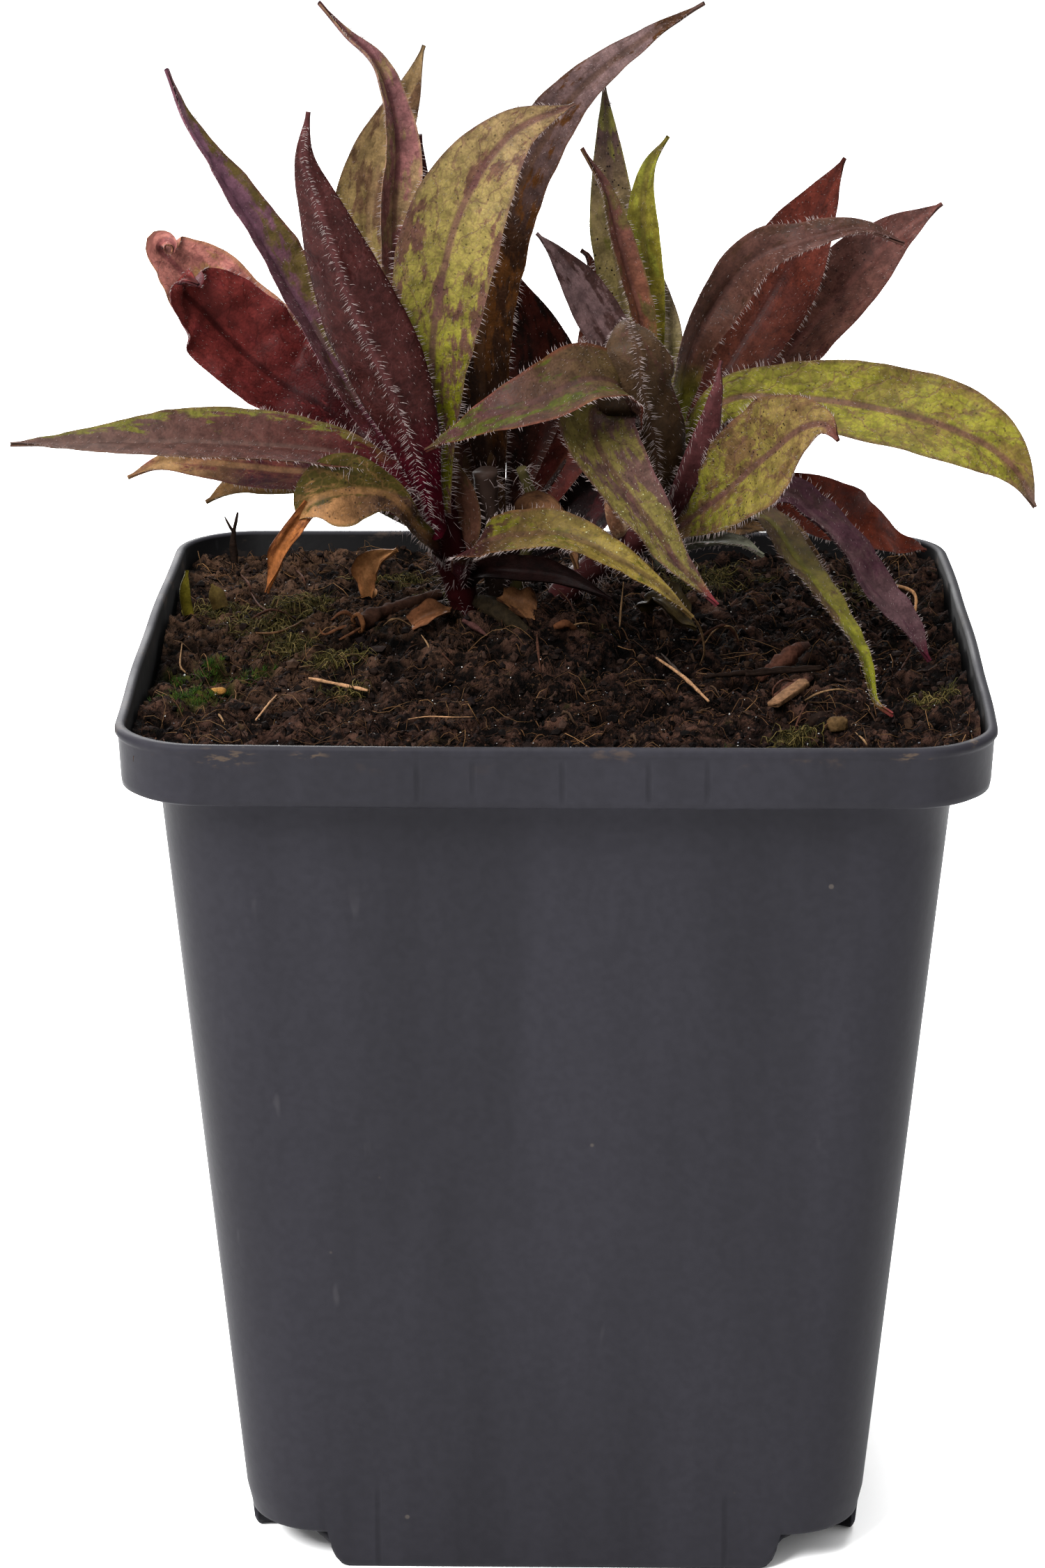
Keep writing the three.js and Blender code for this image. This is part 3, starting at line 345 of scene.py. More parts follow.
RIGHT_LEAVES = [
    new_leaf(
        "speckled",
        [[11, 5, 139], [9, 9, 157.5], [7.2, 10, 169], [6.5, 10, 178.5], [5.7, 9, 190]],
        width=6.6, face=[0, -1, 0.1], fold=0.3, peak=0.6,
        root=(190, 170, 108), tip=(92, 70, 66), patch=(128, 122, 62), spread=0.35, late=0.4, dots=1.8,
    ),
    new_leaf(
        "red_narrow",
        [[12, 2, 139], [11, 2.5, 157.5], [8.5, 3, 167], [6, 2, 176.5], [3, 1, 182.5]],
        width=4.5, face=[[0.3, -1, 0.1], [0.5, -0.8, 0.3]], fold=0.6, peak=0.6,
        root=(154, 98, 68), tip=(112, 72, 66), patch=(108, 92, 54), spread=0.3,
    ),
    new_leaf(
        "bright_green",
        [[12, 4, 139], [11.8, 7, 160.5], [11, 7, 172], [11.6, 6, 179], [14, 4, 183.5]],
        width=5.4, face=[[0, -1, 0.1], [-0.3, -1, 0.1]], fold=0.35, wave=0.2, peak=0.6,
        root=(178, 158, 60), tip=(136, 128, 54), patch=(164, 162, 66), spread=0.35, rib=(124, 108, 56),
        vein=0.7,
    ),
    new_leaf(
        "grey_left",
        [[11, 2, 139], [7.8, 5, 153], [4.3, 6, 160.5], [0, 5, 167.3], [-2.9, 4, 170.8]],
        width=6.5, face=[0.3, -1, 0.3], fold=0.3, peak=0.62,
        root=(86, 60, 54), tip=(154, 124, 124), patch=(84, 58, 54), spread=0.4,
    ),
    new_leaf(
        "small_purple",
        [[13, 3, 139], [14.5, 8, 154], [13.8, 10, 161], [12.7, 10, 166]],
        width=4, face=[0, -1, 0.1], fold=0.3, wave=0.2, peak=0.6,
        root=(160, 150, 44), tip=(204, 182, 146), patch=(110, 82, 74), spread=0.3,
    ),
    new_leaf(
        "red_up",
        [[14, 3, 137], [23, 10, 152.5], [28.5, 13, 161], [33.5, 13, 171], [37.5, 12, 179.5]],
        width=13.2, face=[[-0.2, -0.9, 0.4], [-0.3, -0.9, 0.3]], fold=0.3, curl=0.1, wave=0.5, peak=0.6,
        root=(74, 42, 30), tip=(108, 50, 40), patch=(86, 42, 34), spread=0.4, rib=(64, 32, 28), vein=0.5,
        dots=0.6,
    ),
    new_leaf(
        "arching",
        [
            [13.5, 0, 138], [17, -1, 155], [21, 0, 163], [26, -1, 168.5], [33.5, -3, 171.5],
            [39.5, -5, 173], [44.5, -6, 171.5],
        ],
        width=7, face=[[0.7, -0.8, 0.2], [0.1, -0.6, 0.8]], fold=0.4, wave=0.4, peak=0.6,
        root=(82, 50, 36), tip=(94, 64, 58), patch=(76, 50, 38), spread=0.45, stalk=(146, 146, 44),
        edge=(108, 74, 64), ridge=0.8,
    ),
    new_leaf(
        "red_right",
        [
            [14.5, 3, 135], [26.5, 12, 148], [35, 16, 157.5], [42, 18, 165], [47, 18, 169.5],
            [51, 18, 172.5],
        ],
        width=12, face=[[-0.3, -0.7, 0.6], [-0.4, -0.8, 0.4]], fold=0.25, curl=0.1, wave=0.5, peak=0.65,
        root=(124, 76, 56), tip=(104, 70, 64), patch=(90, 52, 46), spread=0.4, rib=(130, 82, 74),
        vein=0.5, dots=1.2,
    ),
    new_leaf(
        "big_yellow",
        [
            [14, -1, 138], [21, -6, 150], [29.5, -9, 151.7], [40, -12, 151.2], [50, -15, 149.2],
            [57.3, -17, 145.5], [61.3, -18, 139.5],
        ],
        width=12.3, face=[[-0.3, -0.8, 0.5], [0.3, -0.8, 0.5]], fold=0.25, curl=0.1, wave=0.5, peak=0.72,
        root=(124, 120, 48), tip=(134, 116, 58), patch=(148, 142, 56), spread=0.48, end=(120, 96, 84),
        rib=(112, 76, 66), vein=1, edge=(104, 74, 60), dots=0.7,
    ),
    new_leaf(
        "broad_front",
        [
            [14, -1, 131], [21, -13, 139.5], [26.5, -21, 146.5], [30.5, -27, 151.5], [33.5, -30.5, 153],
            [35, -32.5, 151.5],
        ],
        width=14, face=[[-0.3, -0.8, 0.5], [-0.3, -0.85, 0.4]], curl=0.1, wave=0.5, peak=0.66,
        root=(146, 142, 54), tip=(150, 126, 76), patch=(124, 98, 62), spread=0.36, end=(112, 66, 58),
        rib=(110, 74, 70), vein=1, edge=(112, 70, 62), dots=1.4,
    ),
    new_leaf(
        "folded_upright",
        [[13.5, -2, 132], [15.5, -9, 141], [18, -11, 148], [20, -12, 153.5], [21, -11, 157]],
        width=7, face=[0.8, 0.3, 0.3], fold=0.9, curl=0.2, wave=0.2,
        root=(72, 38, 38), tip=(112, 66, 68), patch=(82, 46, 46), spread=0.3, under=(90, 50, 50),
        ridge=1.4,
    ),
    new_leaf(
        "olive_hook",
        [
            [12.5, -2, 132], [12.7, -9.5, 144], [10.8, -13.5, 153], [10, -13, 159], [9, -9, 161.5],
            [8, -5, 160],
        ],
        width=12, face=[[0, 1, 0.2], [0, 0, -1]], fold=0.25, curl=0.3, peak=0.6,
        root=(82, 58, 42), tip=(92, 66, 52), patch=(84, 56, 46), spread=0.4, rib=(92, 68, 56),
        under=(78, 60, 40), ridge=2.2,
    ),
    new_leaf(
        "cross_left",
        [
            [12.5, -1, 137], [8.5, -13, 153], [3.5, -18.5, 156], [-2, -21, 154], [-9, -21, 151.5],
            [-17, -17, 146.5],
        ],
        width=10, face=[[0, -0.6, 0.8], [0, -0.7, 0.7]], curl=0.1, wave=0.5,
        root=(100, 86, 48), tip=(84, 52, 52), patch=(84, 88, 34), spread=0.34, rib=(84, 54, 52), vein=0.6,
        edge=(122, 66, 50), dots=0.5,
    ),
    new_leaf(
        "over_right",
        [
            [13, 0, 135], [8, -9, 148], [4.5, -14, 151], [5, -18, 147.5], [8, -21, 143],
            [11.5, -23.5, 139], [15, -25, 134], [20.5, -26, 128.5],
        ],
        width=11, face=[[0.2, -0.7, 0.7], [0.5, -0.7, 0.6]], curl=0.1, wave=0.6,
        root=(106, 92, 50), tip=(136, 124, 68), patch=(104, 78, 70), spread=0.42, lean=-0.25,
        end=(132, 54, 60), rib=(96, 64, 60), vein=0.8, edge=(112, 72, 76), dots=0.6, wet=1,
    ),
    new_leaf(
        "strap",
        [
            [14, 0, 131], [26, -4, 135], [31, -11, 131], [34.5, -17, 127.5], [37.5, -22, 124.5],
            [39.5, -27, 121], [40.5, -31, 117.5], [42.5, -34, 116.4],
        ],
        width=5, face=[0.4, -0.5, 0.8], wave=0.1, peak=0.35,
        root=(104, 80, 56), tip=(122, 122, 32), patch=(84, 62, 44), spread=0.35, lean=0.3, late=0.3,
        stalk=(88, 64, 52), end=(128, 54, 54),
    ),
    new_leaf(
        "wavy_dark",
        [
            [14.5, 1, 131], [28.5, 1, 136.5], [33.5, 0, 134], [38, -3, 130], [42, -5, 125], [46, -7, 121],
            [49, -9, 116.5],
        ],
        width=6.5, face=[[0.4, -0.4, 0.8], [0.5, -0.6, 0.6]], curl=0.2, wave=0.7, peak=0.74,
        root=(84, 58, 56), tip=(112, 82, 86), patch=(92, 58, 68), spread=0.4, end=(110, 40, 58),
        crease=1.5,
    ),
    new_leaf(
        "red_low",
        [[14, 3, 131], [29, 14, 132], [37, 19, 129.5], [43, 23, 126.5], [47, 27, 123.5], [51, 31, 121.5]],
        width=9, face=[[0.1, -0.9, 0.4], [0.3, -0.8, 0.5]], curl=0.1, wave=0.6, peak=0.55,
        root=(84, 30, 18), tip=(116, 50, 32), patch=(90, 36, 24), spread=0.4, crease=2.2,
    ),
    # Its colours are painted light, paler than the leaf's own, to make up for the shade of the crown
    new_leaf(
        "crown_pink",
        [[9, 5, 128.5], [9.5, 2, 131], [8, 1, 134], [6, 1, 137.5]],
        width=5, face=[0, -1, 0.3], curl=0.1,
        root=(255, 204, 160), tip=(255, 214, 172), patch=(160, 112, 86), spread=0.4,
    ),
    new_leaf(
        "pale_low",
        [[13, 0, 129], [20, -11, 133], [23.8, -15, 134], [26.6, -17, 132.8]],
        width=3.4, face=[0, -0.5, 0.9], fold=0.3, wave=0.2, peak=0.6,
        root=(52, 46, 38), tip=(126, 126, 108), patch=(70, 62, 44), spread=0.4, late=0.55,
    ),
    new_leaf(
        "dark_low",
        [[14, 3, 129], [28, 6.5, 131], [34, 6.5, 126.5], [37, 6, 122]],
        width=4, face=[[0.2, -0.5, 0.9], [0.6, -0.5, 0.6]], fold=0.3, peak=0.6,
        root=(178, 138, 94), tip=(144, 108, 74), patch=(84, 62, 42), spread=0.4,
    ),
]

# Stems as [x, y, z, radius], from the foot in the soil to the top
LEFT_STEMS = [[[-12, 8, 110, 1.9], [-13, 7, 121, 2], [-15, 4, 129, 2.4], [-16, 2, 137, 1.9]]]
BACK_STEMS = [
    [[-7, 12, 110, 2], [-7, 12, 120, 2], [-7, 12, 131, 1.8]],
    [[-7.5, 10.5, 116, 1.5], [-9, 6, 126, 1.5], [-9.8, 3.5, 139, 1.6]],
    [[-6.5, 11, 118, 1], [-3.5, 7, 132, 0.8], [-5, 5, 139, 0.7]],
]
RIGHT_STEMS = [
    [[-1, 12, 110, 1.9], [0, 12, 119, 1.9], [6, 7.5, 126, 2], [12, 2, 132, 2.5], [14, 0.5, 139, 2]],
    [[12.5, 2, 131, 1.8], [12, 3, 138, 2], [12, 3.5, 144, 1.4]],
]

rng = np.random.default_rng(7)


def base(colour):
    """A colour as seen, 0 to 255, as the linear colour of a surface that looks so in this light."""
    c = np.array(colour, float) / 255
    c = np.where(c <= 0.04045, c / 12.92, ((c + 0.055) / 1.055) ** 2.4)
    grey = c.mean()
    return BASE_SHARE * np.maximum(0.2 * c, grey + VIVID * (c - grey))


# Meshes


class Part:
    """Points, faces and values at the points, gathered piece by piece into one mesh."""

    def __init__(self):
        self.points = []
        self.quads = []
        self.tris = []
        self.values = {}
        self.count = 0

    def add(self, points, quads=(), tris=(), **values):
        points = np.asarray(points, float).reshape(-1, 3)
        if len(quads):
            self.quads.append(np.asarray(quads, int).reshape(-1, 4) + self.count)
        if len(tris):
            self.tris.append(np.asarray(tris, int).reshape(-1, 3) + self.count)
        self.points.append(points)
        for name, value in values.items():
            value = np.asarray(value, float)
            width = value.shape[-1] if value.ndim else 1
            rows = value.reshape(-1, width) if value.ndim > 1 else value
            self.values.setdefault(name, []).append(np.array(np.broadcast_to(rows, (len(points), width))))
        self.count += len(points)

    def make(self, name, material, smooth=True):
        """One object of everything added; values of 3 become vectors and those of 1 numbers."""
        points = np.concatenate(self.points) * MM
        faces = [row for block in self.quads + self.tris for row in block.tolist()]
        mesh = bpy.data.meshes.new(name)
        mesh.from_pydata(points.tolist(), [], faces)
        for key, blocks in self.values.items():
            data = np.concatenate(blocks)
            kind, slot = ("FLOAT_VECTOR", "vector") if data.shape[1] == 3 else ("FLOAT", "value")
            attribute = mesh.attributes.new(key, kind, "POINT")
            attribute.data.foreach_set(slot, data.astype(np.float32).ravel())
        mesh.polygons.foreach_set("use_smooth", [smooth] * len(mesh.polygons))
        mesh.materials.append(material)
        mesh.update()
        made = bpy.data.objects.new(name, mesh)
        bpy.context.scene.collection.objects.link(made)
        return made


def grid_quads(rows, columns, closed=False, flip=False):
    """Quads of a grid of points listed row by row; closed joins the last column to the first."""
    i, j = np.meshgrid(np.arange(rows - 1), np.arange(columns if closed else columns - 1), indexing="ij")
    k = (j + 1) % columns
    near, far = i * columns, (i + 1) * columns
    quads = np.stack([near + j, near + k, far + k, far + j], -1)
    quads = quads.reshape(-1, 4)
    return quads[:, ::-1] if flip else quads


def lattice(cells, seed):
    """A fixed random value from -1 to 1 for each whole-numbered cell."""
    x, y, z = (cells[..., i].astype(np.int64) for i in range(3))
    mixed = (x * 73856093) ^ (y * 19349663) ^ (z * 83492791) ^ (seed * 2654435761)
    mixed = (mixed ^ (mixed >> 13)) * 1274126177
    return ((mixed ^ (mixed >> 16)) & 0xFFFF) / 32767.5 - 1


def noise(points, scale, seed=0, octaves=1):
    """Smooth noise from about -1 to 1 at each point, its features 1 / scale mm apart."""
    total = np.zeros(points.shape[:-1])
    for octave in range(octaves):
        p = points * scale * 2**octave + 31.7 * octave
        cell = np.floor(p)
        f = p - cell
        f = f * f * (3 - 2 * f)
        value = np.zeros(total.shape)
        for corner in np.ndindex(2, 2, 2):
            weight = np.prod(np.where(corner, f, 1 - f), -1)
            value += weight * lattice(cell + corner, seed + octave)
        total += value * 0.5**octave
    return total


def unit(vectors):
    return vectors / np.maximum(np.linalg.norm(vectors, axis=-1, keepdims=True), 1e-9)


def stacked(*values):
    """One array with the values as its last axis."""
    return np.stack(np.broadcast_arrays(*values), -1)


def curve(path, steps):
    """A smooth curve through the rows of path, sampled at even distances: its points and tangents."""
    p = np.array(path, float)
    p = np.vstack([2 * p[0] - p[1], p, 2 * p[-1] - p[-2]])
    spans = len(p) - 3
    u = np.linspace(0, spans, 40 * spans + 1)
    i = np.minimum(u.astype(int), spans - 1)
    f = (u - i)[:, None]
    a, b, c, d = p[i], p[i + 1], p[i + 2], p[i + 3]
    m0, m1 = 0.5 * (c - a), 0.5 * (d - b)
    ends = (2 * f**3 - 3 * f**2 + 1) * b + (f**3 - 2 * f**2 + f) * m0
    dense = ends + (3 * f**2 - 2 * f**3) * c + (f**3 - f**2) * m1
    run = np.concatenate([[0], np.cumsum(np.linalg.norm(np.diff(dense[:, :3], axis=0), axis=1))])
    at = np.linspace(0, run[-1], steps)
    points = np.stack([np.interp(at, run, dense[:, k]) for k in range(p.shape[1])], -1)
    return points, unit(np.gradient(points[:, :3], axis=0)), run[-1]


# Leaves

# Thickness of a blade, and how much the midrib and the root add below and the groove takes above
BLADE = 0.36
RIB_BELOW = 0.75
RIB_REACH = 0.7
ROOT_BELOW = 1.5
GROOVE = 0.22
STALK_HALF = 1.3
TIP_HALF = 0.22
RAGGED = 0.035
CREASE = 0.28
# Points across a blade from edge to edge, closer together toward the edges
ACROSS = np.sin(np.linspace(-1, 1, 17) * math.pi / 2)
SHARE = np.abs(ACROSS)
# How far apart the leaves lie in the noise of their edges, creases and colours
EDGE_STEP = 9.7
CREASE_STEP = 5.3
COLOUR_STEP = 7.13
# Shares of the length where the tint of the stalk ends and where that of the end begins, and where the
# painted glints are strongest and how far they reach
STALK_TINT = (0.32, 0.18)
END_TINT = (0.93, 0.05)
WET_GLINT_BAND = (0.68, 0.2)


def half_width(leaf, t):
    """Half the blade's width down the leaf: a stalk that widens to its peak and narrows to a tip."""
    full = leaf["width"] / 2
    stalk = min(STALK_HALF, full)
    peak = leaf["peak"]
    rising = stalk + (full - stalk) * np.sin(np.pi / 2 * np.minimum(t / peak, 1)) ** leaf["neck"]
    falling = full * np.cos(np.pi / 2 * np.clip((t - peak) / (1 - peak), 0, 1)) ** 1.1
    return np.where(t < peak, rising, np.maximum(TIP_HALF, falling))


def bend(leaf, share):
    """How far out and up a half blade reaches at a share of its width."""
    fold, curl = leaf["fold"], leaf["curl"] or 1e-4
    out = (np.sin(fold + curl * share) - math.sin(fold)) / curl
    rise = (math.cos(fold) - np.cos(fold + curl * share)) / curl
    return out, rise


def blade_frame(leaf):
    """Points down the midrib, with the directions along it, out of its upper face and to its side."""
    points, along, length = curve(leaf["path"], leaf_rows(leaf))
    t = np.linspace(0, 1, len(points))[:, None]
    face = np.array(leaf["face"][0]) * (1 - t) + np.array(leaf["face"][1]) * t
    normal = unit(face - np.sum(face * along, -1, keepdims=True) * along)
    return points, along, normal, np.cross(along, normal), t, length


def ragged_half(leaf, seed, t, length):
    """Half the width at each point of the grid, a little uneven along the edge."""
    torn = leaf["look"].get("torn", 0)
    flat = stacked(EDGE_STEP * seed, t * length, ACROSS) * [1, 0.25 + torn, 1]
    return half_width(leaf, t) * (1 + (torn or RAGGED) * noise(flat, 1.0, 3, 2))


def blade_height(leaf, seed, half, t, length):
    """How far each point rises from the midrib's plane by folding, waving and creasing."""
    ripple = np.sin(9 * t + 2.4 * np.sign(ACROSS)) * np.sin(np.pi * t)
    crinkle = noise(stacked(half * ACROSS, t * length, CREASE_STEP * seed), 0.28, 5, 2)
    creases = CREASE * leaf["look"].get("crease", 1) * crinkle * np.minimum(half, 1.5)
    height = half * bend(leaf, SHARE)[1] + leaf["wave"] * ripple * SHARE**2
    return height + creases * np.minimum(1, 0.25 + SHARE)


def blade_depths(half, t):
    """How far the upper and the lower skin lie from the blade's middle, along its outward direction."""
    rib = np.exp(-((half * ACROSS / RIB_REACH) ** 2))
    root = np.maximum(0, 1 - t / 0.25) ** 2
    thickness = BLADE * np.sqrt(np.maximum(0, 1 - SHARE**6)) + RIB_BELOW * rib * (1 - 0.7 * t)
    thickness = thickness + ROOT_BELOW * root * (1 - SHARE)
    return BLADE / 2 - GROOVE * rib * (1 - t), BLADE / 2 - thickness


def blade_grids(leaf, seed):
    """The leaf's two skins as grids of points, with their directions and the leaf's own coordinates."""
    points, along, normal, side, t, length = blade_frame(leaf)
    half = ragged_half(leaf, seed, t, length)
    reach = (np.sign(ACROSS) * half * bend(leaf, SHARE)[0])[..., None]
    height = blade_height(leaf, seed, half, t, length)[..., None]
    middle = points[:, None] + side[:, None] * reach + normal[:, None] * height
    slope = leaf["fold"] + leaf["curl"] * SHARE
    outward = normal[:, None] * np.cos(slope)[:, None]
    outward = outward - side[:, None] * (np.sign(ACROSS) * np.sin(slope))[:, None]
    above, below = blade_depths(half, t)
    return {
        "upper": middle + outward * above[..., None],
        "lower": middle + outward * below[..., None],
        "out": outward,
        "along": along,
        "side": side,
        "leafspace": stacked(half * ACROSS, t * length, COLOUR_STEP * seed),
        "span": stacked(ACROSS, t, 0.0),
    }


def leaf_rows(leaf):
    return max(24, int(leaf["rows"] * sum_length(leaf["path"])))


def sum_length(path):
    """The length of a path along its straight spans."""
    return float(np.sum(np.linalg.norm(np.diff(np.array(path, float)[:, :3], axis=0), axis=1)))


def tinged(colours, look, key, amount):
    """The colours mixed toward one of the leaf's tints, by an amount at each point."""
    return colours + amount[..., None] * (base(look[key]) - colours) if key in look else colours


def leaf_colours(look, grids, under):
    """The colours and amounts that the leaf material reads at each point."""
    s, t = grids["span"][..., 0], grids["span"][..., 1]
    late = look.get("late", 0.25)
    toward_tip = np.clip((t - late) / (0.85 - min(late, 0.7)), 0, 1)
    ground = tinged(base(look["root"]) + 0 * grids["span"], look, "tip", toward_tip)
    if under:
        ground = 0.25 * ground + 0.75 * base(look.get("under", look["tip"]))
    colours = {
        "ground": ground,
        "patch": base(look["patch"]) + 0 * ground,
        "rib": base(look.get("rib", look["tip"])) * (0.8 if under else 1) + 0 * ground,
        "edge": base(look.get("edge", look["patch"])) + 0 * ground,
    }
    near_root = np.clip((STALK_TINT[0] - t) / STALK_TINT[1], 0, 1)
    near_end = np.clip((t - END_TINT[0]) / END_TINT[1], 0, 1)
    for key in ("ground", "patch", "rib"):
        colours[key] = tinged(tinged(colours[key], look, "stalk", near_root), look, "end", near_end)
    spread = look["spread"] * (0.6 if under else 1) + look.get("lean", 0) * s
    colours["amounts"] = stacked(spread, look.get("vein", 0.35), look.get("dots", 0))
    # Painted glints, strongest at one share of the length
    glinting = np.exp(-(((t - WET_GLINT_BAND[0]) / WET_GLINT_BAND[1]) ** 2))
    colours["wet"] = (look.get("wet", 0) * glinting)[..., None]
    return colours


def add_leaf(part, leaf, seed, hairs):
    look = leaf["look"]
    grids = blade_grids(leaf, seed)
    rows, columns = grids["upper"].shape[:2]
    for skin, under in (("upper", False), ("lower", True)):
        values = {k: v.reshape(-1, v.shape[-1]) for k, v in leaf_colours(look, grids, under).items()}
        span = grids["span"] + [0, 0, float(under)]
        part.add(
            grids[skin],
            grid_quads(rows, columns, flip=under),
            leafspace=grids["leafspace"].reshape(-1, 3),
            span=span.reshape(-1, 3),
            **values,
        )
    if not look.get("dry"):
        add_leaf_hairs(hairs, leaf, grids)


# Hairs


def spikes(part, roots, ways, lengths, droops, radius):
    """Fine three-sided hairs: one bend in the middle, and a point at the end."""
    ways = unit(ways)
    across = unit(np.cross(ways, ways[:, [1, 2, 0]] + [0.31, 0.17, 0.53]))
    up = np.cross(ways, across)
    middle = roots + ways * (0.5 * lengths)[:, None] + droops * (0.12 * lengths)[:, None]
    tip = roots + ways * (0.92 * lengths)[:, None] + droops * (0.5 * lengths)[:, None]
    rings = three_sides(roots, across, up, radius) + three_sides(middle, across, up, 0.75 * radius)
    points = np.stack([*rings, tip], 1)
    start = 7 * np.arange(len(roots))[:, None, None]
    quads = start + np.array([[0, 1, 4, 3], [1, 2, 5, 4], [2, 0, 3, 5]])
    tris = start + np.array([[3, 4, 6], [4, 5, 6], [5, 3, 6]])
    part.add(points, quads.reshape(-1, 4), tris.reshape(-1, 3))


def three_sides(centres, across, up, radius):
    """Three points round each centre."""
    angles = [2 * math.pi * k / 3 for k in range(3)]
    return [centres + radius * (across * math.cos(a) + up * math.sin(a)) for a in angles]


def thorns(part, roots, ways, lengths, radius, **values):
    """Straight three-sided points, for the shortest hairs and for moss."""
    ways = unit(ways)
    across = unit(np.cross(ways, ways[:, [1, 2, 0]] + [0.31, 0.17, 0.53]))
    up = np.cross(ways, across)
    tip = roots + ways * lengths[:, None]
    points = np.stack([*three_sides(roots, across, up, radius), tip], 1)
    start = 4 * np.arange(len(roots))[:, None, None]
    tris = start + np.array([[0, 1, 3], [1, 2, 3], [2, 0, 3]])
    part.add(points, tris=tris.reshape(-1, 3), **values)


def pick(grid, i, j):
    """The grid's values at fractional rows and columns."""
    i0 = np.minimum(i.astype(int), grid.shape[0] - 2)
    j0 = np.minimum(j.astype(int), grid.shape[1] - 2)
    fi, fj = (i - i0)[:, None], (j - j0)[:, None]
    near = grid[i0, j0] * (1 - fj) + grid[i0, j0 + 1] * fj
    far = grid[i0 + 1, j0] * (1 - fj) + grid[i0 + 1, j0 + 1] * fj
    return near * (1 - fi) + far * fi


# Shorter hairs than this are straight
THORNS_BELOW = 0.8


def grow_hairs(part, grids, skin, column, reach, lean, low=0.02, high=0.97):
    """Hairs at the given shares of the width; lean is how far they go up, tipward and outward."""
    rows, columns = grids[skin].shape[:2]
    count = len(column)
    i = rng.uniform(low, high, count) * (rows - 1)
    j = np.clip(column, 0, 1) * (columns - 1)
    roots = pick(grids[skin], i, j)
    out = pick(grids["out"], i, j) * (1 if skin == "upper" else -1)
    along = grids["along"][i.astype(int)]
    outer = grids["side"][i.astype(int)] * np.sign(j / (columns - 1) - 0.5)[:, None]
    ways = out * lean[0] + along * lean[1] + outer * lean[2] + rng.normal(0, 0.14, (count, 3))
    sizes = reach * rng.uniform(0.6, 1.15, count) * (1.2 - 0.75 * i / (rows - 1))
    if reach < THORNS_BELOW:
        thorns(part, roots, ways, sizes, 0.022)
        return
    droops = rng.normal(0, 0.18, (count, 3)) - along * rng.uniform(0, 0.5, count)[:, None]
    spikes(part, roots, ways, sizes, droops, 0.02 + 0.008 * reach)


def add_leaf_hairs(part, leaf, grids):
    """A fringe at both edges, down on both faces, a comb under the midrib and silk at the root."""
    length = sum_length(leaf["path"])
    down = int(0.8 * length * leaf["width"])
    ridge, silk = leaf["look"].get("ridge", 0.6), leaf["look"].get("silk", 0)
    fringe = rng.integers(0, 2, int(4.4 * length)).astype(float)
    grow_hairs(part, grids, "upper", fringe, 1.15, (0.2, -0.12, 1.0))
    grow_hairs(part, grids, "upper", rng.uniform(0.03, 0.97, down), 0.5, (0.5, -0.5, 0.15))
    grow_hairs(part, grids, "lower", rng.uniform(0.03, 0.97, down), 0.6, (0.6, -0.4, 0.15))
    comb = rng.normal(0.5, 0.02, int(4 * ridge * length))
    grow_hairs(part, grids, "lower", comb, 1.1 + 0.15 * ridge, (0.5, -0.15, 0.8))
    grow_hairs(part, grids, "upper", rng.uniform(0, 1, silk), 2.4, (0.6, 0.1, 0.5), 0.0, 0.3)
    grow_hairs(part, grids, "lower", rng.uniform(0, 1, silk), 2.4, (0.5, 0.1, 0.5), 0.0, 0.3)


# Rods, such as stems, straws and roots


def add_rod(part, path, steps, sides, rough=0.0, **values):
    points, along, _ = curve(path, steps)
    centres, radii = points[:, :3], points[:, 3]
    across = unit(np.cross(along, [0.3, 0.9, 0.2]))
    up = np.cross(across, along)
    angles = np.linspace(0, 2 * math.pi, sides, endpoint=False)
    cosines, sines = np.cos(angles)[None, :, None], np.sin(angles)[None, :, None]
    ring = across[:, None] * cosines + up[:, None] * sines
    skin = centres[:, None] + ring * radii[:, None, None]
    skin = skin + ring * (rough * radii[:, None] * noise(skin, 0.9, 11, 2))[..., None]
    ends = np.stack([centres[0], centres[-1]])
    k = np.arange(sides)
    last = (steps - 1) * sides
    caps = np.concatenate([
        np.stack([k, (k + 1) % sides, 0 * k + steps * sides], -1),
        np.stack([last + (k + 1) % sides, last + k, 0 * k + steps * sides + 1], -1),
    ])
    whole = np.concatenate([skin.reshape(-1, 3), ends])
    part.add(whole, grid_quads(steps, sides, closed=True, flip=True), caps, **values)
    return skin, ring


def stem_values(colour, seed):
    tone = base(colour)
    return {
        "leafspace": np.array([0.0, 0.0, COLOUR_STEP * seed]),
        "span": np.array([0.4, 0.3, 0.0]),
        "ground": tone,
        "patch": tone * 0.6,
        "rib": tone,
        "edge": tone,
        "amounts": np.array([0.35, 0.0, 0.0]),
        "wet": np.array([0.0]),
    }


def add_stem(part, hairs, path, colour, seed):
    steps = max(12, int(1.6 * sum_length(path)))
    skin, ring = add_rod(part, path, steps, 14, 0.12, **stem_values(colour, seed))
    for per_step, reach, fall in ((6, (0.8, 1.7), 0.3), (2, (1.8, 2.8), -0.5)):
        count = per_step * steps
        i, j = rng.integers(0, steps, count), rng.integers(0, 14, count)
        ways = ring[i, j] + [0, 0, fall] + rng.normal(0, 0.3, (count, 3))
        sizes = rng.uniform(*reach, count)
        spikes(hairs, skin[i, j], ways, sizes, rng.normal(0, 0.4, (count, 3)), 0.03)


# Materials


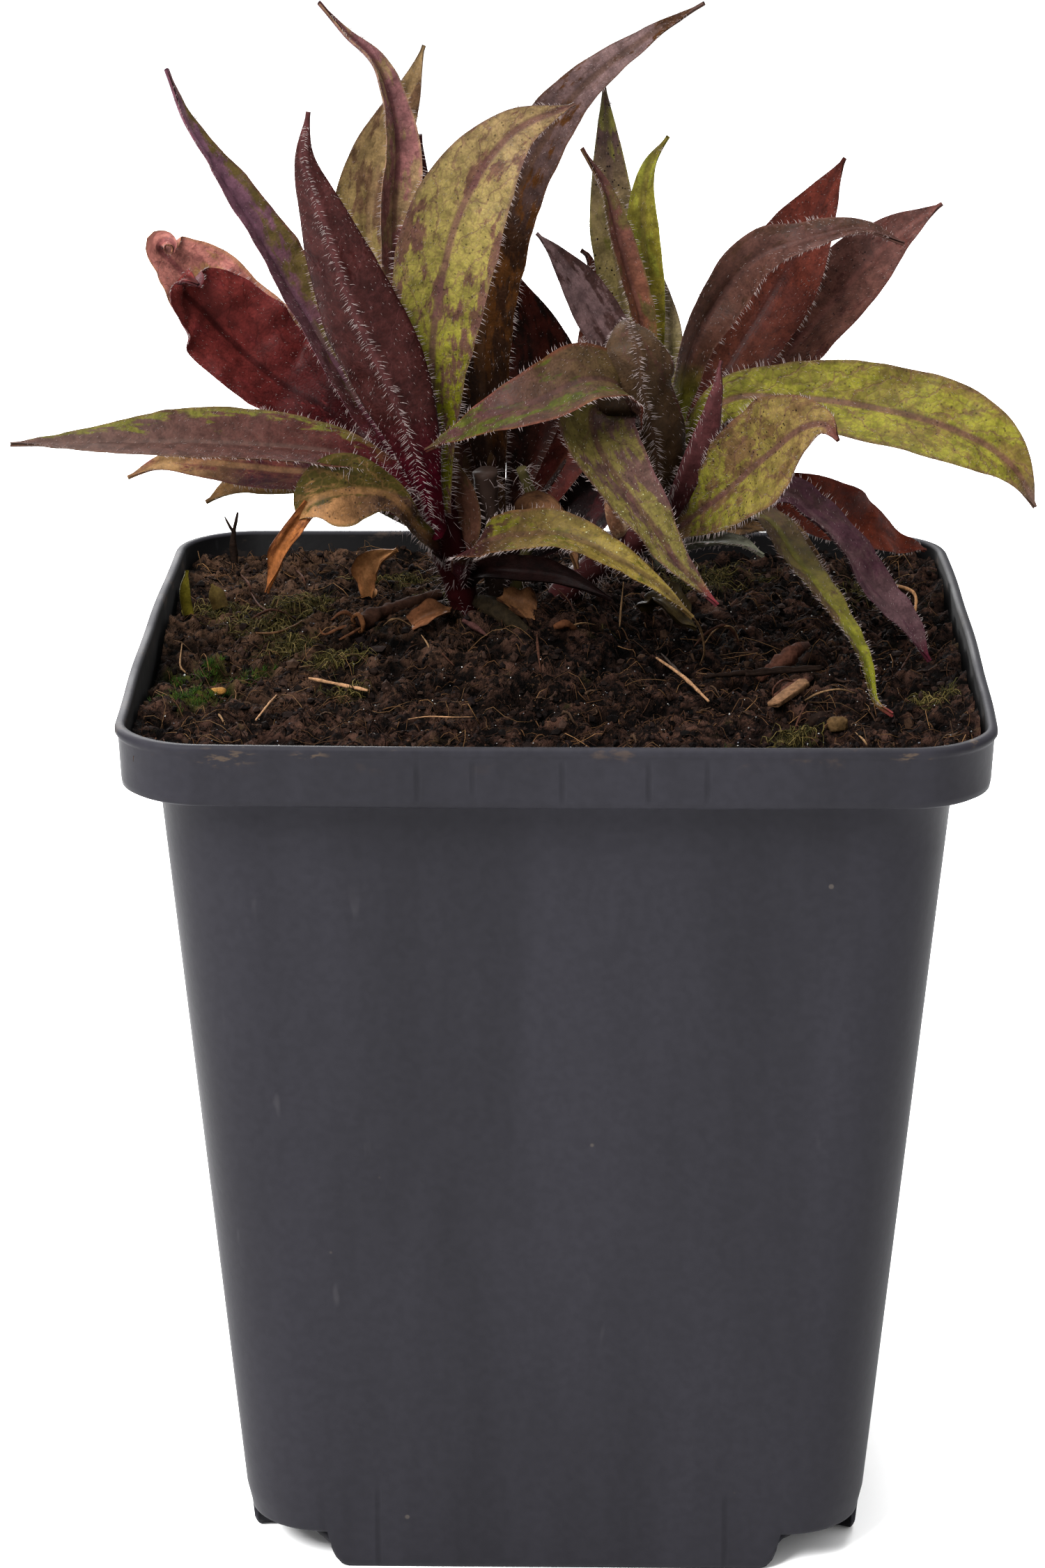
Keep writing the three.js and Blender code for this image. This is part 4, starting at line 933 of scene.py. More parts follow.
class Shader:
    """A material's nodes, added and linked by short calls."""

    def __init__(self, name):
        self.material = bpy.data.materials.new(name)
        self.material.use_nodes = True
        self.tree = self.material.node_tree
        self.principled = self.tree.nodes["Principled BSDF"]

    def node(self, kind, inputs=(), **settings):
        made = self.tree.nodes.new("ShaderNode" + kind)
        for key, value in settings.items():
            setattr(made, key, value)
        for key, value in dict(inputs).items():
            self.put(made.inputs[key], value)
        return made

    def put(self, socket, value):
        if isinstance(value, bpy.types.NodeSocket):
            self.tree.links.new(value, socket)
        elif socket.type == "RGBA" and len(value) == 3:
            socket.default_value = (*value, 1)
        else:
            socket.default_value = value

    def attribute(self, name):
        return self.node("Attribute", attribute_name=name).outputs["Vector"]

    def attribute_number(self, name):
        return self.node("Attribute", attribute_name=name).outputs["Fac"]

    def split(self, vector):
        return self.node("SeparateXYZ", {"Vector": vector}).outputs

    def math(self, operation, a, b=0.0):
        return self.node("Math", {0: a, 1: b}, operation=operation).outputs[0]

    def ramp(self, value, low, high, start=0.0, end=1.0):
        """value carried from low..high to start..end, smoothly and held at the ends."""
        sockets = {"Value": value, "From Min": low, "From Max": high, "To Min": start, "To Max": end}
        return self.node("MapRange", sockets, interpolation_type="SMOOTHSTEP").outputs[0]

    def scaled(self, vector, factors):
        return self.node("VectorMath", {0: vector, 1: factors}, operation="MULTIPLY").outputs[0]

    def noise(self, vector, scale, detail, roughness=0.55):
        sockets = {"Vector": vector, "Scale": scale, "Detail": detail, "Roughness": roughness}
        return self.node("TexNoise", sockets).outputs[0]

    def cells(self, vector, scale, feature="F1"):
        sockets = {"Vector": vector, "Scale": scale}
        return self.node("TexVoronoi", sockets, feature=feature).outputs["Distance"]

    def mix(self, factor, a, b):
        made = self.node("Mix", data_type="RGBA")
        self.put(made.inputs["Factor"], factor)
        self.put(made.inputs[6], a)
        self.put(made.inputs[7], b)
        return made.outputs[2]

    def product(self, first, *others):
        for other in others:
            first = self.math("MULTIPLY", first, other)
        return first

    def swing(self, value, size):
        """Noise as a swing round nothing, of this size."""
        return self.math("MULTIPLY", self.math("SUBTRACT", value, 0.5), size)

    def times(self, colour, factor):
        return self.node("VectorMath", {0: colour, "Scale": factor}, operation="SCALE").outputs[0]

    def bump(self, height, strength, distance):
        sockets = {"Height": height, "Strength": strength, "Distance": distance * MM}
        self.put(self.principled.inputs["Normal"], self.node("Bump", sockets).outputs[0])

    def finish(self, colour, roughness, gloss):
        self.put(self.principled.inputs["Base Color"], colour)
        self.put(self.principled.inputs["Roughness"], roughness)
        self.put(self.principled.inputs["Specular IOR Level"], gloss)
        return self.material


def leaf_ground(sh, place, spread):
    """The ground colour with broad and streaky patches over it."""
    broad = sh.noise(sh.scaled(place, (1, 0.5, 1)), 0.23, 3)
    streaks = sh.noise(sh.scaled(place, (1, 0.3, 1)), 1.1, 4, 0.65)
    wish = sh.math("ADD", sh.math("ADD", spread, sh.swing(broad, 1.9)), sh.swing(streaks, 1.5))
    return sh.mix(sh.ramp(wish, 0.38, 0.62), sh.attribute("ground"), sh.attribute("patch"))


def leaf_lines(sh, place, vein):
    """How strongly the midrib, the looping side veins and the fine net show."""
    x, y, _ = sh.split(place)
    width = sh.math("ABSOLUTE", x)
    wander = sh.product(sh.noise(place, 0.45, 3, 0.6), 8.0)
    rise = sh.math("SUBTRACT", sh.math("ADD", y, wander), sh.product(width, 1.7))
    loops = sh.ramp(sh.math("PINGPONG", rise, 2.9), 0.05, 0.6, 1, 0)
    net = sh.ramp(sh.cells(place, 0.85, "DISTANCE_TO_EDGE"), 0.01, 0.12, 1, 0)
    side_veins = sh.product(sh.math("MAXIMUM", sh.product(loops, 0.6), sh.product(net, 0.26)), vein)
    midrib = sh.product(sh.ramp(width, 0.25, 0.75, 1, 0), sh.math("ADD", sh.product(vein, 0.5), 0.35))
    return sh.math("MAXIMUM", side_veins, midrib)


def painted_wet_glints(sh, place):
    """Painted glints: pale spots where the leaf is damp."""
    drops = sh.ramp(sh.cells(place, 1.9), 0.12, 0.2, 1, 0)
    film = sh.ramp(sh.noise(place, 0.5, 2), 0.5, 0.62)
    return sh.product(drops, film, sh.attribute_number("wet"))


def leaf_material():
    """Patches over a ground colour, veins, a tinted edge, dark dots, a fine mottling and painted glints.
    """
    sh = Shader("leaf")
    place = sh.attribute("leafspace")
    across = sh.split(sh.attribute("span"))[0]
    spread, vein, dots = sh.split(sh.attribute("amounts"))
    lines = leaf_lines(sh, place, vein)
    colour = sh.mix(lines, leaf_ground(sh, place, spread), sh.attribute("rib"))
    margin = sh.ramp(sh.math("ABSOLUTE", across), 0.86, 0.99, 0, 0.6)
    colour = sh.mix(margin, colour, sh.attribute("edge"))
    speck = sh.ramp(sh.cells(place, 1.15), 0.1, 0.2, 1, 0)
    speck = sh.product(speck, sh.math("ADD", sh.product(dots, 0.5), 0.2))
    colour = sh.mix(speck, colour, base(LEAF_SPECK))
    fine = sh.noise(place, 3.2, 2)
    colour = sh.times(colour, sh.ramp(fine, 0.25, 0.75, 0.82, 1.16))
    colour = sh.times(colour, sh.ramp(sh.noise(place, 0.6, 3, 0.6), 0.3, 0.7, 0.7, 1.32))
    # Painted glints where the leaf is damp
    colour = sh.mix(painted_wet_glints(sh, place), colour, base(PAINTED_GLINT))
    relief = sh.math("SUBTRACT", sh.product(fine, 0.35), sh.product(lines, 0.6))
    sh.bump(relief, 0.5, 0.25)
    return sh.finish(colour, sh.ramp(fine, 0.3, 0.7, 0.38, 0.58), LEAF_GLOSS)


def hair_material():
    sh = Shader("hair")
    return sh.finish(base(HAIR), 0.45, HAIR_GLOSS)


def pot_material():
    """Charcoal plastic: faint flow marks down the wall, fine scuffs, soil dust along the rim, painted
    shade on its inside and painted shade along its upright marks and creases.
    """
    sh = Shader("pot_plastic")
    place = sh.node("TexCoord").outputs["Object"]
    grain = sh.noise(place, 900, 2)
    flow = sh.noise(sh.scaled(place, (1, 1, 0.12)), 70, 3)
    marks = upright_marks_and_shade(sh, place)
    colour = sh.mix(sh.ramp(flow, 0.3, 0.7), base(CHARCOAL), base(PALE_CHARCOAL))
    colour = sh.times(colour, sh.ramp(grain, 0.3, 0.7, 0.93, 1.07))
    # The inside of the pot painted dark as shade
    colour = sh.mix(sh.attribute_number("inner"), colour, base(POT_INSIDE_SHADE))
    colour = dusted(sh, place, colour)
    colour = scuffed(sh, place, colour)
    # Painted shade along the upright marks and creases
    colour = sh.times(colour, sh.ramp(marks, 0, 1, 1, 0.82))
    relief = sh.math("ADD", sh.product(grain, 0.3), sh.product(flow, 0.7))
    sh.bump(sh.math("SUBTRACT", relief, sh.product(marks, 1.2)), 0.25, 0.3)
    return sh.finish(colour, sh.ramp(flow, 0.3, 0.7, 0.46, 0.58), POT_GLOSS)


def dusted(sh, place, colour):
    """Dust near the top, and dried dirt at a few places of the rim."""
    near_top = sh.ramp(sh.split(place)[2], (POT_HEIGHT - 4) * MM, POT_HEIGHT * MM)
    dust = sh.ramp(sh.noise(sh.scaled(place, (1, 1, 2)), 160, 4, 0.7), 0.56, 0.7)
    colour = sh.mix(sh.product(dust, near_top, 0.5), colour, base(DUST))
    return sh.mix(sh.product(dirt_on_rim(sh, place), 0.55), colour, base(RIM_DIRT))


def scuffed(sh, place, colour):
    """Short upright scuffs in patches, and a few pale specks."""
    streak = sh.noise(sh.scaled(place, (1, 1, 0.25)), 420, 2, 0.4)
    scuff = sh.product(sh.ramp(streak, 0.68, 0.78), sh.ramp(sh.noise(place, 40, 2), 0.5, 0.7), 0.35)
    colour = sh.mix(scuff, colour, base(SCUFF))
    speck = sh.ramp(sh.cells(place, 85), 0.02, 0.035, 0.7, 0)
    return sh.mix(speck, colour, base(POT_SPECK))


def dirt_on_rim(sh, place):
    """Thin level streaks of dried dirt at a few places along the rim."""
    flat = (0.6, 0.6, 2.2)
    streaks = sh.ramp(sh.noise(sh.scaled(place, (1, 1, 3)), 520, 3, 0.6), 0.52, 0.64)
    dirt = 0.0
    for at, reach in DIRT_ON_RIM:
        centre = [v * MM * k for v, k in zip(at, flat)]
        ends = {0: sh.scaled(place, flat), 1: centre}
        away = sh.node("VectorMath", ends, operation="DISTANCE").outputs["Value"]
        dirt = sh.math("MAXIMUM", dirt, sh.ramp(away, 0.6 * reach * MM, 0.2 * reach * MM))
    return sh.product(dirt, streaks)


def upright_marks_and_shade(sh, place):
    """Thin upright lines in the front band and above the front foot, where the wall is bumped and darkened
    with painted shade.
    """
    x, y, z = sh.split(place)
    marks = 0.0
    for at, low, high in MARK_LINES:
        line = sh.ramp(sh.math("ABSOLUTE", sh.math("SUBTRACT", x, at * MM)), 0.55 * MM, 0.1 * MM)
        above = sh.ramp(z, low * MM, (low + 2) * MM)
        below = sh.ramp(z, high * MM, (high - 2) * MM)
        marks = sh.math("MAXIMUM", marks, sh.product(line, above, below))
    return sh.product(marks, sh.ramp(y, -36 * MM, -38 * MM))


def soil_material():
    """Dark peat with paler crumbs, and green where moss grows; painted shade in its hollows and painted
    light on its tops.
    """
    sh = Shader("peat")
    place = sh.node("TexCoord").outputs["Object"]
    moss, pale, height = sh.split(sh.attribute("facts"))
    clumps = sh.noise(place, 420, 5, 0.7)
    fibres = sh.noise(sh.scaled(place, (1, 0.25, 1)), 1500, 3, 0.7)
    colour = sh.mix(sh.ramp(clumps, 0.42, 0.64), base(DARK_PEAT), base(BROWN_PEAT))
    colour = sh.mix(sh.product(pale, sh.ramp(clumps, 0.35, 0.6, 0, 0.5)), colour, base(PALE_PEAT))
    colour = sh.mix(sh.ramp(fibres, 0.6, 0.75, 0, 0.6), colour, base(PEAT_FIBRE))
    colour = sh.mix(moss, colour, sh.mix(clumps, base(DARK_MOSS), base(MOSS)))
    # Painted shade and light: darker in the soil's hollows, lighter on its tops
    colour = sh.times(colour, sh.ramp(height, -0.8, 1, 0.1, 1.6))
    sh.bump(sh.math("ADD", clumps, fibres), 0.9, 0.9)
    return sh.finish(colour, 0.9, SOIL_GLOSS)


def litter_material():
    """Crumbs, fibres, straw, bark and moss, each in its own tone."""
    sh = Shader("litter")
    place = sh.node("TexCoord").outputs["Object"]
    grain = sh.noise(place, 1400, 3, 0.65)
    colour = sh.times(sh.attribute("tone"), sh.ramp(grain, 0.3, 0.7, 0.6, 1.3))
    sh.bump(grain, 0.6, 0.25)
    return sh.finish(colour, 0.8, LITTER_GLOSS)


# Pot


# Points along each side and round each corner of a ring
ALONG_SIDE = 36
ALONG_CORNER = 20


def rounded_square(half, corner, z, bow=0.0):
    """Points round a square with round corners, its sides bowed out by a little."""
    reach = half - corner
    along = np.sin(np.linspace(-math.pi / 2, math.pi / 2, ALONG_SIDE, endpoint=False)[1:])
    quarter = [(half + bow * (1 - f * f), f * reach) for f in along]
    for angle in np.linspace(0, math.pi / 2, ALONG_CORNER, endpoint=False):
        quarter.append((reach + corner * math.cos(angle), reach + corner * math.sin(angle)))
    points = []
    for side in range(4):
        c, s = math.cos(side * math.pi / 2), math.sin(side * math.pi / 2)
        points += [(c * x - s * y, s * x + c * y, z) for x, y in quarter]
    return np.array(points)


def foot_lift(x, y):
    """How far the pot's floor stands off the ground: nothing along its two arms, most in its corners."""
    low, high = FOOT_ARM
    f = np.clip((np.minimum(np.abs(x), np.abs(y)) - low) / (high - low), 0, 1)
    return CORNER_LIFT * (1 - np.sqrt(1 - f * f))


def body_half(z):
    """Half the wall's width at a height."""
    return (FOOT_WIDTH + (SHOULDER_WIDTH - FOOT_WIDTH) * z / BAND_FOOT) / 2


# Heights of the wall's rings
OUTER_HEIGHTS = [0, 0.35, 0.9, 1.8, 3, 4.2, 5.2, 6.5, 9, 14, 22, 34, 48, 62, 76, 90, 102, BAND_FOOT - 1.2]
INNER_HEIGHTS = [80, 50, 20, 7, 1.2]
# Where the wall meets the band, as how far out from the wall, and the height above the band's foot
UNDER_BAND = [(0.35, -0.35), (1.2, 0)]
# The rim, as how far in from its widest, how much sharper the corner is, and the height
RIM_PROFILE = [
    (1.2, 0, BAND_FOOT), (0.75, 0, BAND_FOOT + 0.35), (0.62, 0, BAND_FOOT + 1.2),
    (0.38, 0, POT_HEIGHT - 1.5), (0.2, 0, POT_HEIGHT - 1.15), (0.02, 0, POT_HEIGHT - 0.8),
    (0.02, 0, POT_HEIGHT - 0.35), (0.3, 0, POT_HEIGHT), (1.0, 0, POT_HEIGHT), (1.35, 1, POT_HEIGHT - 0.4),
    (1.5, 1, BAND_FOOT + 1.6), (2.0, 1, BAND_FOOT + 1.1),
]
# Where the rim meets the inner wall, as how far out from that wall, and the height above the band's foot
INSIDE_BAND = [(0.6, 0.6), (0, -0.6)]
# How many rings face inward, counted from the last
INNER_RINGS = 10


def outer_ring(z):
    """The wall's outside at a height, its lowest edge rounded."""
    corner = FOOT_CORNER + (SHOULDER_CORNER - FOOT_CORNER) * z / BAND_FOOT
    tuck = 0.5 * max(0, 1 - z / 0.9) ** 2
    return rounded_square(body_half(z) - tuck, corner, z)


def pot_rings():
    """The pot's section as rings, from the outer foot over the rim to the inner floor."""
    neck = body_half(BAND_FOOT)
    rings = [outer_ring(z) for z in OUTER_HEIGHTS]
    rings += [rounded_square(neck + out, SHOULDER_CORNER, BAND_FOOT + up) for out, up in UNDER_BAND]
    for inset, sharper, z in RIM_PROFILE:
        rings.append(rounded_square(RIM_WIDTH / 2 - inset, RIM_CORNER - sharper, z, RIM_BOW))
    for out, up in INSIDE_BAND:
        rings.append(rounded_square(neck - WALL + out, SHOULDER_CORNER - 1, BAND_FOOT + up))
    rings += [rounded_square(body_half(z) - WALL, FOOT_CORNER - 0.5, z) for z in INNER_HEIGHTS]
    return rings


def raise_corners(ring):
    """Lifts the lowest part of a ring's corners with the foot."""
    share = np.where(ring[:, 2] < LIFT_FADES_AT, 1 - ring[:, 2] / LIFT_FADES_AT, 0)
    ring[:, 2] += foot_lift(ring[:, 0], ring[:, 1]) * share


def floor_rings(ring):
    """Rings that close the floor inside its outline, down to a point in the middle."""
    floor = [ring]
    for share in np.linspace(1, 0.02, 16)[1:]:
        spot = ring * [share, share, 1]
        spot[:, 2] = ring[:, 2].min() + foot_lift(spot[:, 0], spot[:, 1])
        floor.append(spot)
    floor.append(np.tile([0, 0, ring[:, 2].min()], (len(ring), 1)))
    return floor


def make_pot(material):
    rings = pot_rings()
    for ring in rings:
        raise_corners(ring)
    columns = len(rings[0])
    part = Part()
    # The inside rings, which the material paints dark as shade
    inside = np.arange(len(rings)) >= len(rings) - INNER_RINGS
    inner = np.repeat(inside, columns)[:, None].astype(float)
    part.add(np.concatenate(rings), grid_quads(len(rings), columns, closed=True), inner=inner)
    for ring, flip in ((rings[0], False), (rings[-1], True)):
        floor = floor_rings(ring)
        quads = grid_quads(len(floor), columns, closed=True, flip=flip)
        part.add(np.concatenate(floor), quads, inner=np.array([0.0]))
    pot = part.make("pot_visual", material)
    sway_rim(pot)
    cut_drain_holes(pot)
    return pot


def sway_rim(pot):
    """Slight unevenness along the rim."""
    for vertex in pot.data.vertices:
        x, y, z = vertex.co / MM
        if z < BAND_FOOT + 0.5:
            continue
        sway = 0.07 * math.sin(0.11 * x + 0.7) + 0.06 * math.sin(0.19 * y + 2)
        vertex.co.x += (sway if abs(x) > 50 else 0) * MM
        vertex.co.y += (sway if abs(y) > 50 else 0) * MM


def cut_drain_holes(pot):
    cutter = Part()
    for x, y, radius in DRAIN_HOLES:
        add_rod(cutter, [[x, y, -2, radius], [x, y, 5, radius], [x, y, 9, radius]], 3, 20)
    tool = cutter.make("drain_tool", pot.data.materials[0], smooth=False)
    cut = pot.modifiers.new("drain_holes", "BOOLEAN")
    cut.object = tool
    cut.operation = "DIFFERENCE"
    cut.solver = "EXACT"
    bpy.context.view_layer.update()
    evaluated = pot.evaluated_get(bpy.context.evaluated_depsgraph_get())
    mesh = bpy.data.meshes.new_from_object(evaluated)
    pot.modifiers.clear()
    pot.data = mesh
    bpy.data.objects.remove(tool)


# Soil


def swell(spot, x, y):
    away = (x - spot["x"]) ** 2 + (y - spot["y"]) ** 2
    return spot["height"] * np.exp(-away / (2 * spot["spread"] ** 2))


def soil_plain(x, y):
    """The height of the soil without its crumbs."""
    lumps = 0.5 * np.sin(0.55 * x + 1) * np.cos(0.6 * y) + 0.35 * np.sin(0.95 * x - 0.4 * y)
    return SOIL_LEVEL + lumps + swell(MOUND, x, y) + swell(DIP, x, y)


def heaped(x, y):
    """How far the soil climbs toward the pot's walls."""
    right = 1.9 * np.clip((x - 42) / 11, 0, 1) ** 2
    left = 0.9 * np.clip((-x - 42) / 11, 0, 1) ** 2
    rear = 1.3 * np.clip((y - 38) / 14, 0, 1) * (0.5 + 0.5 * np.sin(0.21 * x + 1))
    return np.maximum(np.maximum(right, left), rear)


def soil_top(x, y):
    """The height of the crumbled soil."""
    flat = stacked(x, y, 0.0)
    crumbs = 0.8 * noise(flat, 0.24, 21) + 0.75 * noise(flat, 0.6, 22) + 0.5 * noise(flat, 1.3, 23)
    crumbs += 0.3 * noise(flat, 2.7, 24)
    return soil_plain(x, y) + heaped(x, y) + crumbs


def moss_amount(x, y, spots):
    """How thickly moss grows, from 0 to 1."""
    amount = np.zeros_like(x)
    for at_x, at_y, size in spots:
        amount = np.maximum(amount, np.exp(-((x - at_x) ** 2 + (y - at_y) ** 2) / (size * size)))
    ragged = noise(stacked(x, y, 0.0), 0.45, 31, 3)
    return np.clip(1.6 * amount + 0.55 * ragged - 0.45, 0, 1)


def paleness(x, y):
    """The soil is paler and browner at left, behind the front edge."""
    return np.clip((-x - 4) / 30, 0, 1) * np.clip((y + 34) / 30, 0, 1)


def painted_shade_under_shoot(x, y):
    """Painted shade: how much darker the soil is made under the right shoot, where its shade falls."""
    return 0.3 * np.exp(-(((x - 14) / 17) ** 2) - ((y - 3) / 12) ** 2)


def into_pot(x, y, half, corner):
    """Points of a square moved in from its corners onto a round-cornered one."""
    reach = half - corner
    over_x, over_y = np.maximum(np.abs(x) - reach, 0), np.maximum(np.abs(y) - reach, 0)
    far = np.hypot(over_x, over_y)
    shrink = np.where(far > corner, corner / np.maximum(far, 1e-9), 1)
    return (
        np.sign(x) * (np.minimum(np.abs(x), reach) + over_x * shrink),
        np.sign(y) * (np.minimum(np.abs(y), reach) + over_y * shrink),
    )


def add_soil_sides(part):
    """The soil's sides inside the pot's wall, and its flat underside."""
    rings = [
        rounded_square(SOIL_HALF, SOIL_CORNER, SOIL_LEVEL - 1),
        rounded_square(SOIL_HALF, SOIL_CORNER, BAND_FOOT + 1.8),
    ]
    rings += [rounded_square(body_half(z) - 1.6, 10, z) for z in (BAND_FOOT - 1.5, 60, SOIL_FOOT)]
    columns = len(rings[0])
    quads = grid_quads(len(rings), columns, closed=True, flip=True)
    part.add(np.concatenate(rings), quads, facts=np.zeros(3))
    k = np.arange(columns)
    fan = np.stack([k, 0 * k + columns, (k + 1) % columns], -1)
    part.add(np.concatenate([rings[-1], [[0, 0, SOIL_FOOT]]]), tris=fan, facts=np.zeros(3))


def make_soil(material):
    line = np.linspace(-SOIL_HALF, SOIL_HALF, SOIL_CELLS)
    x, y = into_pot(*np.meshgrid(line, line), SOIL_HALF, SOIL_CORNER)
    z = soil_top(x, y)
    moss = np.maximum(moss_amount(x, y, BRIGHT_MOSS), 0.35 * moss_amount(x, y, OLIVE_MOSS))
    # The crumbs' relief, lowered under the right shoot as painted shade
    height = z - soil_plain(x, y) - heaped(x, y) - painted_shade_under_shoot(x, y)
    facts = stacked(moss, paleness(x, y), height).reshape(-1, 3)
    part = Part()
    part.add(stacked(x, y, z), grid_quads(SOIL_CELLS, SOIL_CELLS), facts=facts)
    add_soil_sides(part)
    return part.make("soil_visual", material)


GOLDEN = 1.618
ICO = unit(np.array([
    [-1, GOLDEN, 0], [1, GOLDEN, 0], [-1, -GOLDEN, 0], [1, -GOLDEN, 0],
    [0, -1, GOLDEN], [0, 1, GOLDEN], [0, -1, -GOLDEN], [0, 1, -GOLDEN],
    [GOLDEN, 0, -1], [GOLDEN, 0, 1], [-GOLDEN, 0, -1], [-GOLDEN, 0, 1],
]))
ICO_FACES = [
    [0, 11, 5], [0, 5, 1], [0, 1, 7], [0, 7, 10], [0, 10, 11],
    [1, 5, 9], [5, 11, 4], [11, 10, 2], [10, 7, 6], [7, 1, 8],
    [3, 9, 4], [3, 4, 2], [3, 2, 6], [3, 6, 8], [3, 8, 9],
    [4, 9, 5], [2, 4, 11], [6, 2, 10], [8, 6, 7], [9, 8, 1],
]
OCTA = np.array([[1, 0, 0], [-1, 0, 0], [0, 1, 0], [0, -1, 0], [0, 0, 1], [0, 0, -1]], float)
OCTA_FACES = [[0, 2, 4], [2, 1, 4], [1, 3, 4], [3, 0, 4], [2, 0, 5], [1, 2, 5], [3, 1, 5], [0, 3, 5]]

# Tones of the crumbs, fibres and moss
CRUMBS = [(22, 16, 14), (36, 26, 23), (60, 44, 37), (28, 21, 20)]
BIG_CRUMBS = [*CRUMBS, (76, 56, 44), (86, 64, 50)]
GRIT = [(20, 14, 13), (44, 32, 28), (84, 60, 46), (30, 22, 20)]
# Pale grains: white perlite, and painted glints of the damp soil among them
PERLITE_AND_GLINTS = [(255, 255, 252), (226, 222, 216), (150, 150, 156)]
BROWN_FIBRES = [(76, 52, 38), (52, 36, 28), (104, 74, 50), (34, 22, 18)]
TAN_FIBRES = [(158, 118, 80), (122, 92, 64), (96, 70, 50)]
THICK_FIBRES = [(62, 46, 38), (46, 34, 28), (84, 64, 50)]
MOSSY_FIBRES = [(100, 90, 48), (68, 64, 36), (128, 112, 68)]


def soil_spots(count):
    """Random places on the soil, inside the rim."""
    x, y = rng.uniform(-SOIL_HALF + 1, SOIL_HALF - 1, (2, count))
    return into_pot(x, y, SOIL_HALF - 1, RIM_CORNER)


def mossy_spots(spots, count):
    """Random places on the soil where moss grows."""
    x, y = soil_spots(count * 30)
    keep = moss_amount(x, y, spots) > rng.uniform(0.15, 1, len(x))
    return x[keep][:count], y[keep][:count]


def add_crumbs(part, count, sizes, tones, lift, shape=(ICO, ICO_FACES)):
    """Rough grains on the soil; lift is how much of its size each stands out by."""
    solid, faces = shape
    corners = len(solid)
    x, y = soil_spots(count)
    size = rng.uniform(*sizes, count) * rng.uniform(0.6, 1, count)
    centre = stacked(x, y, soil_top(x, y) + lift * size)
    rough = 1 + rng.normal(0, 0.24, (count, corners, 1))
    stretch = rng.uniform(0.6, 1.2, (count, 1, 3)) * size[:, None, None]
    points = centre[:, None] + solid[None] * rough * stretch
    start = corners * np.arange(count)[:, None, None]
    tone = np.array([base(tones[k]) for k in rng.integers(0, len(tones), count)])
    # Each crumb's tone varies at random, and is darkened under the right shoot as painted shade
    tone = tone * rng.uniform(0.35, 1.5, (count, 1)) * (1 - 0.7 * painted_shade_under_shoot(x, y))[:, None]
    part.add(points, tris=(start + np.array(faces)).reshape(-1, 3), tone=np.repeat(tone, corners, 0))


def fibre_path(x, y, way, length, radius, turn, rise):
    """The run of one fibre from a spot on the soil; rise is the most that it arches."""
    path = []
    for f in (0, 0.33, 0.66, 1):
        inside = np.clip([x, y], -SOIL_HALF + 1.2, SOIL_HALF - 1.2)
        z = float(soil_top(np.array(inside[0]), np.array(inside[1])))
        arch = rise * math.sin(math.pi * f) * rng.uniform(0.1, 1)
        path.append([*inside, z + 0.1 + arch, radius * (1 - 0.6 * f)])
        x, y = x + length / 3 * math.cos(way), y + length / 3 * math.sin(way)
        way += turn
    return path


def add_fibres(part, spots, lengths, radii, tones, rise):
    """Fine curved root fibres that lie on the soil and arch over it."""
    headings = rng.uniform(0, 2 * math.pi, len(spots[0]))
    for x, y, way in zip(*spots, headings):
        length, radius = rng.uniform(*lengths), rng.uniform(*radii)
        path = fibre_path(x, y, way, length, radius, rng.normal(0, 0.5), rise)
        tone = base(tones[rng.integers(0, len(tones))]) * rng.uniform(0.7, 1.2)
        add_rod(part, path, 6, 3, tone=tone)


def add_moss(part, spots, count, tone_low, tone_high, tall):
    """Tufts of short pointed leaves where moss grows."""
    x, y = mossy_spots(spots, count)
    roots = np.repeat(stacked(x, y, soil_top(x, y) - 0.1), 9, 0)
    roots[:, :2] += rng.normal(0, 0.25, (len(roots), 2))
    ways = rng.normal(0, 0.75, roots.shape)
    ways[:, 2] = np.abs(ways[:, 2]) + 0.6
    blend = rng.uniform(0, 1, (len(roots), 1))
    tone = base(tone_low) * (1 - blend) + base(tone_high) * blend
    lengths = rng.uniform(0.4, 1.0, len(roots)) * tall
    thorns(part, roots, ways, lengths, 0.06, tone=np.repeat(tone, 4, 0))


def on_soil(run):
    """The run with its heights, given over the soil, measured from the ground."""
    return [[x, y, float(soil_plain(x, y)) + lift, *rest] for x, y, lift, *rest in run]


def add_roots(part):
    """The roots and scraps that can be told apart in the photo."""
    for tone, radius, run in ROOTS:
        reach = np.sin(np.linspace(0.5, math.pi - 0.35, len(run)))
        path = [[*point, radius * size] for point, size in zip(on_soil(run), reach)]
        add_rod(part, path, 5 * len(run), 5, 0.3, tone=base(tone))


def make_crumbs(material):
    part = Part()
    add_crumbs(part, 3300, (0.25, 0.7), CRUMBS, 0.15)
    add_crumbs(part, 170, (0.4, 1.1), BIG_CRUMBS, 0.2)
    return part.make("soil_crumbs", material, smooth=False)


def make_grit(material):
    part = Part()
    add_crumbs(part, 8000, (0.14, 0.34), GRIT, 0.2, (OCTA, OCTA_FACES))
    # Pale specks: perlite grains and painted glints of the damp soil
    add_crumbs(part, 900, (0.07, 0.17), PERLITE_AND_GLINTS, 1, (OCTA, OCTA_FACES))
    return part.make("soil_grit", material, smooth=False)


def make_fibres(material):
    part = Part()
    add_fibres(part, soil_spots(2600), (1, 4), (0.04, 0.12), BROWN_FIBRES, 0.9)
    add_fibres(part, soil_spots(190), (4, 9), (0.05, 0.09), TAN_FIBRES, 2)
    add_fibres(part, soil_spots(170), (1.5, 4), (0.14, 0.32), THICK_FIBRES, 0.5)
    add_fibres(part, mossy_spots(OLIVE_MOSS, 1600), (1, 4), (0.05, 0.12), MOSSY_FIBRES, 1.2)
    add_roots(part)
    return part.make("soil_fibres", material)


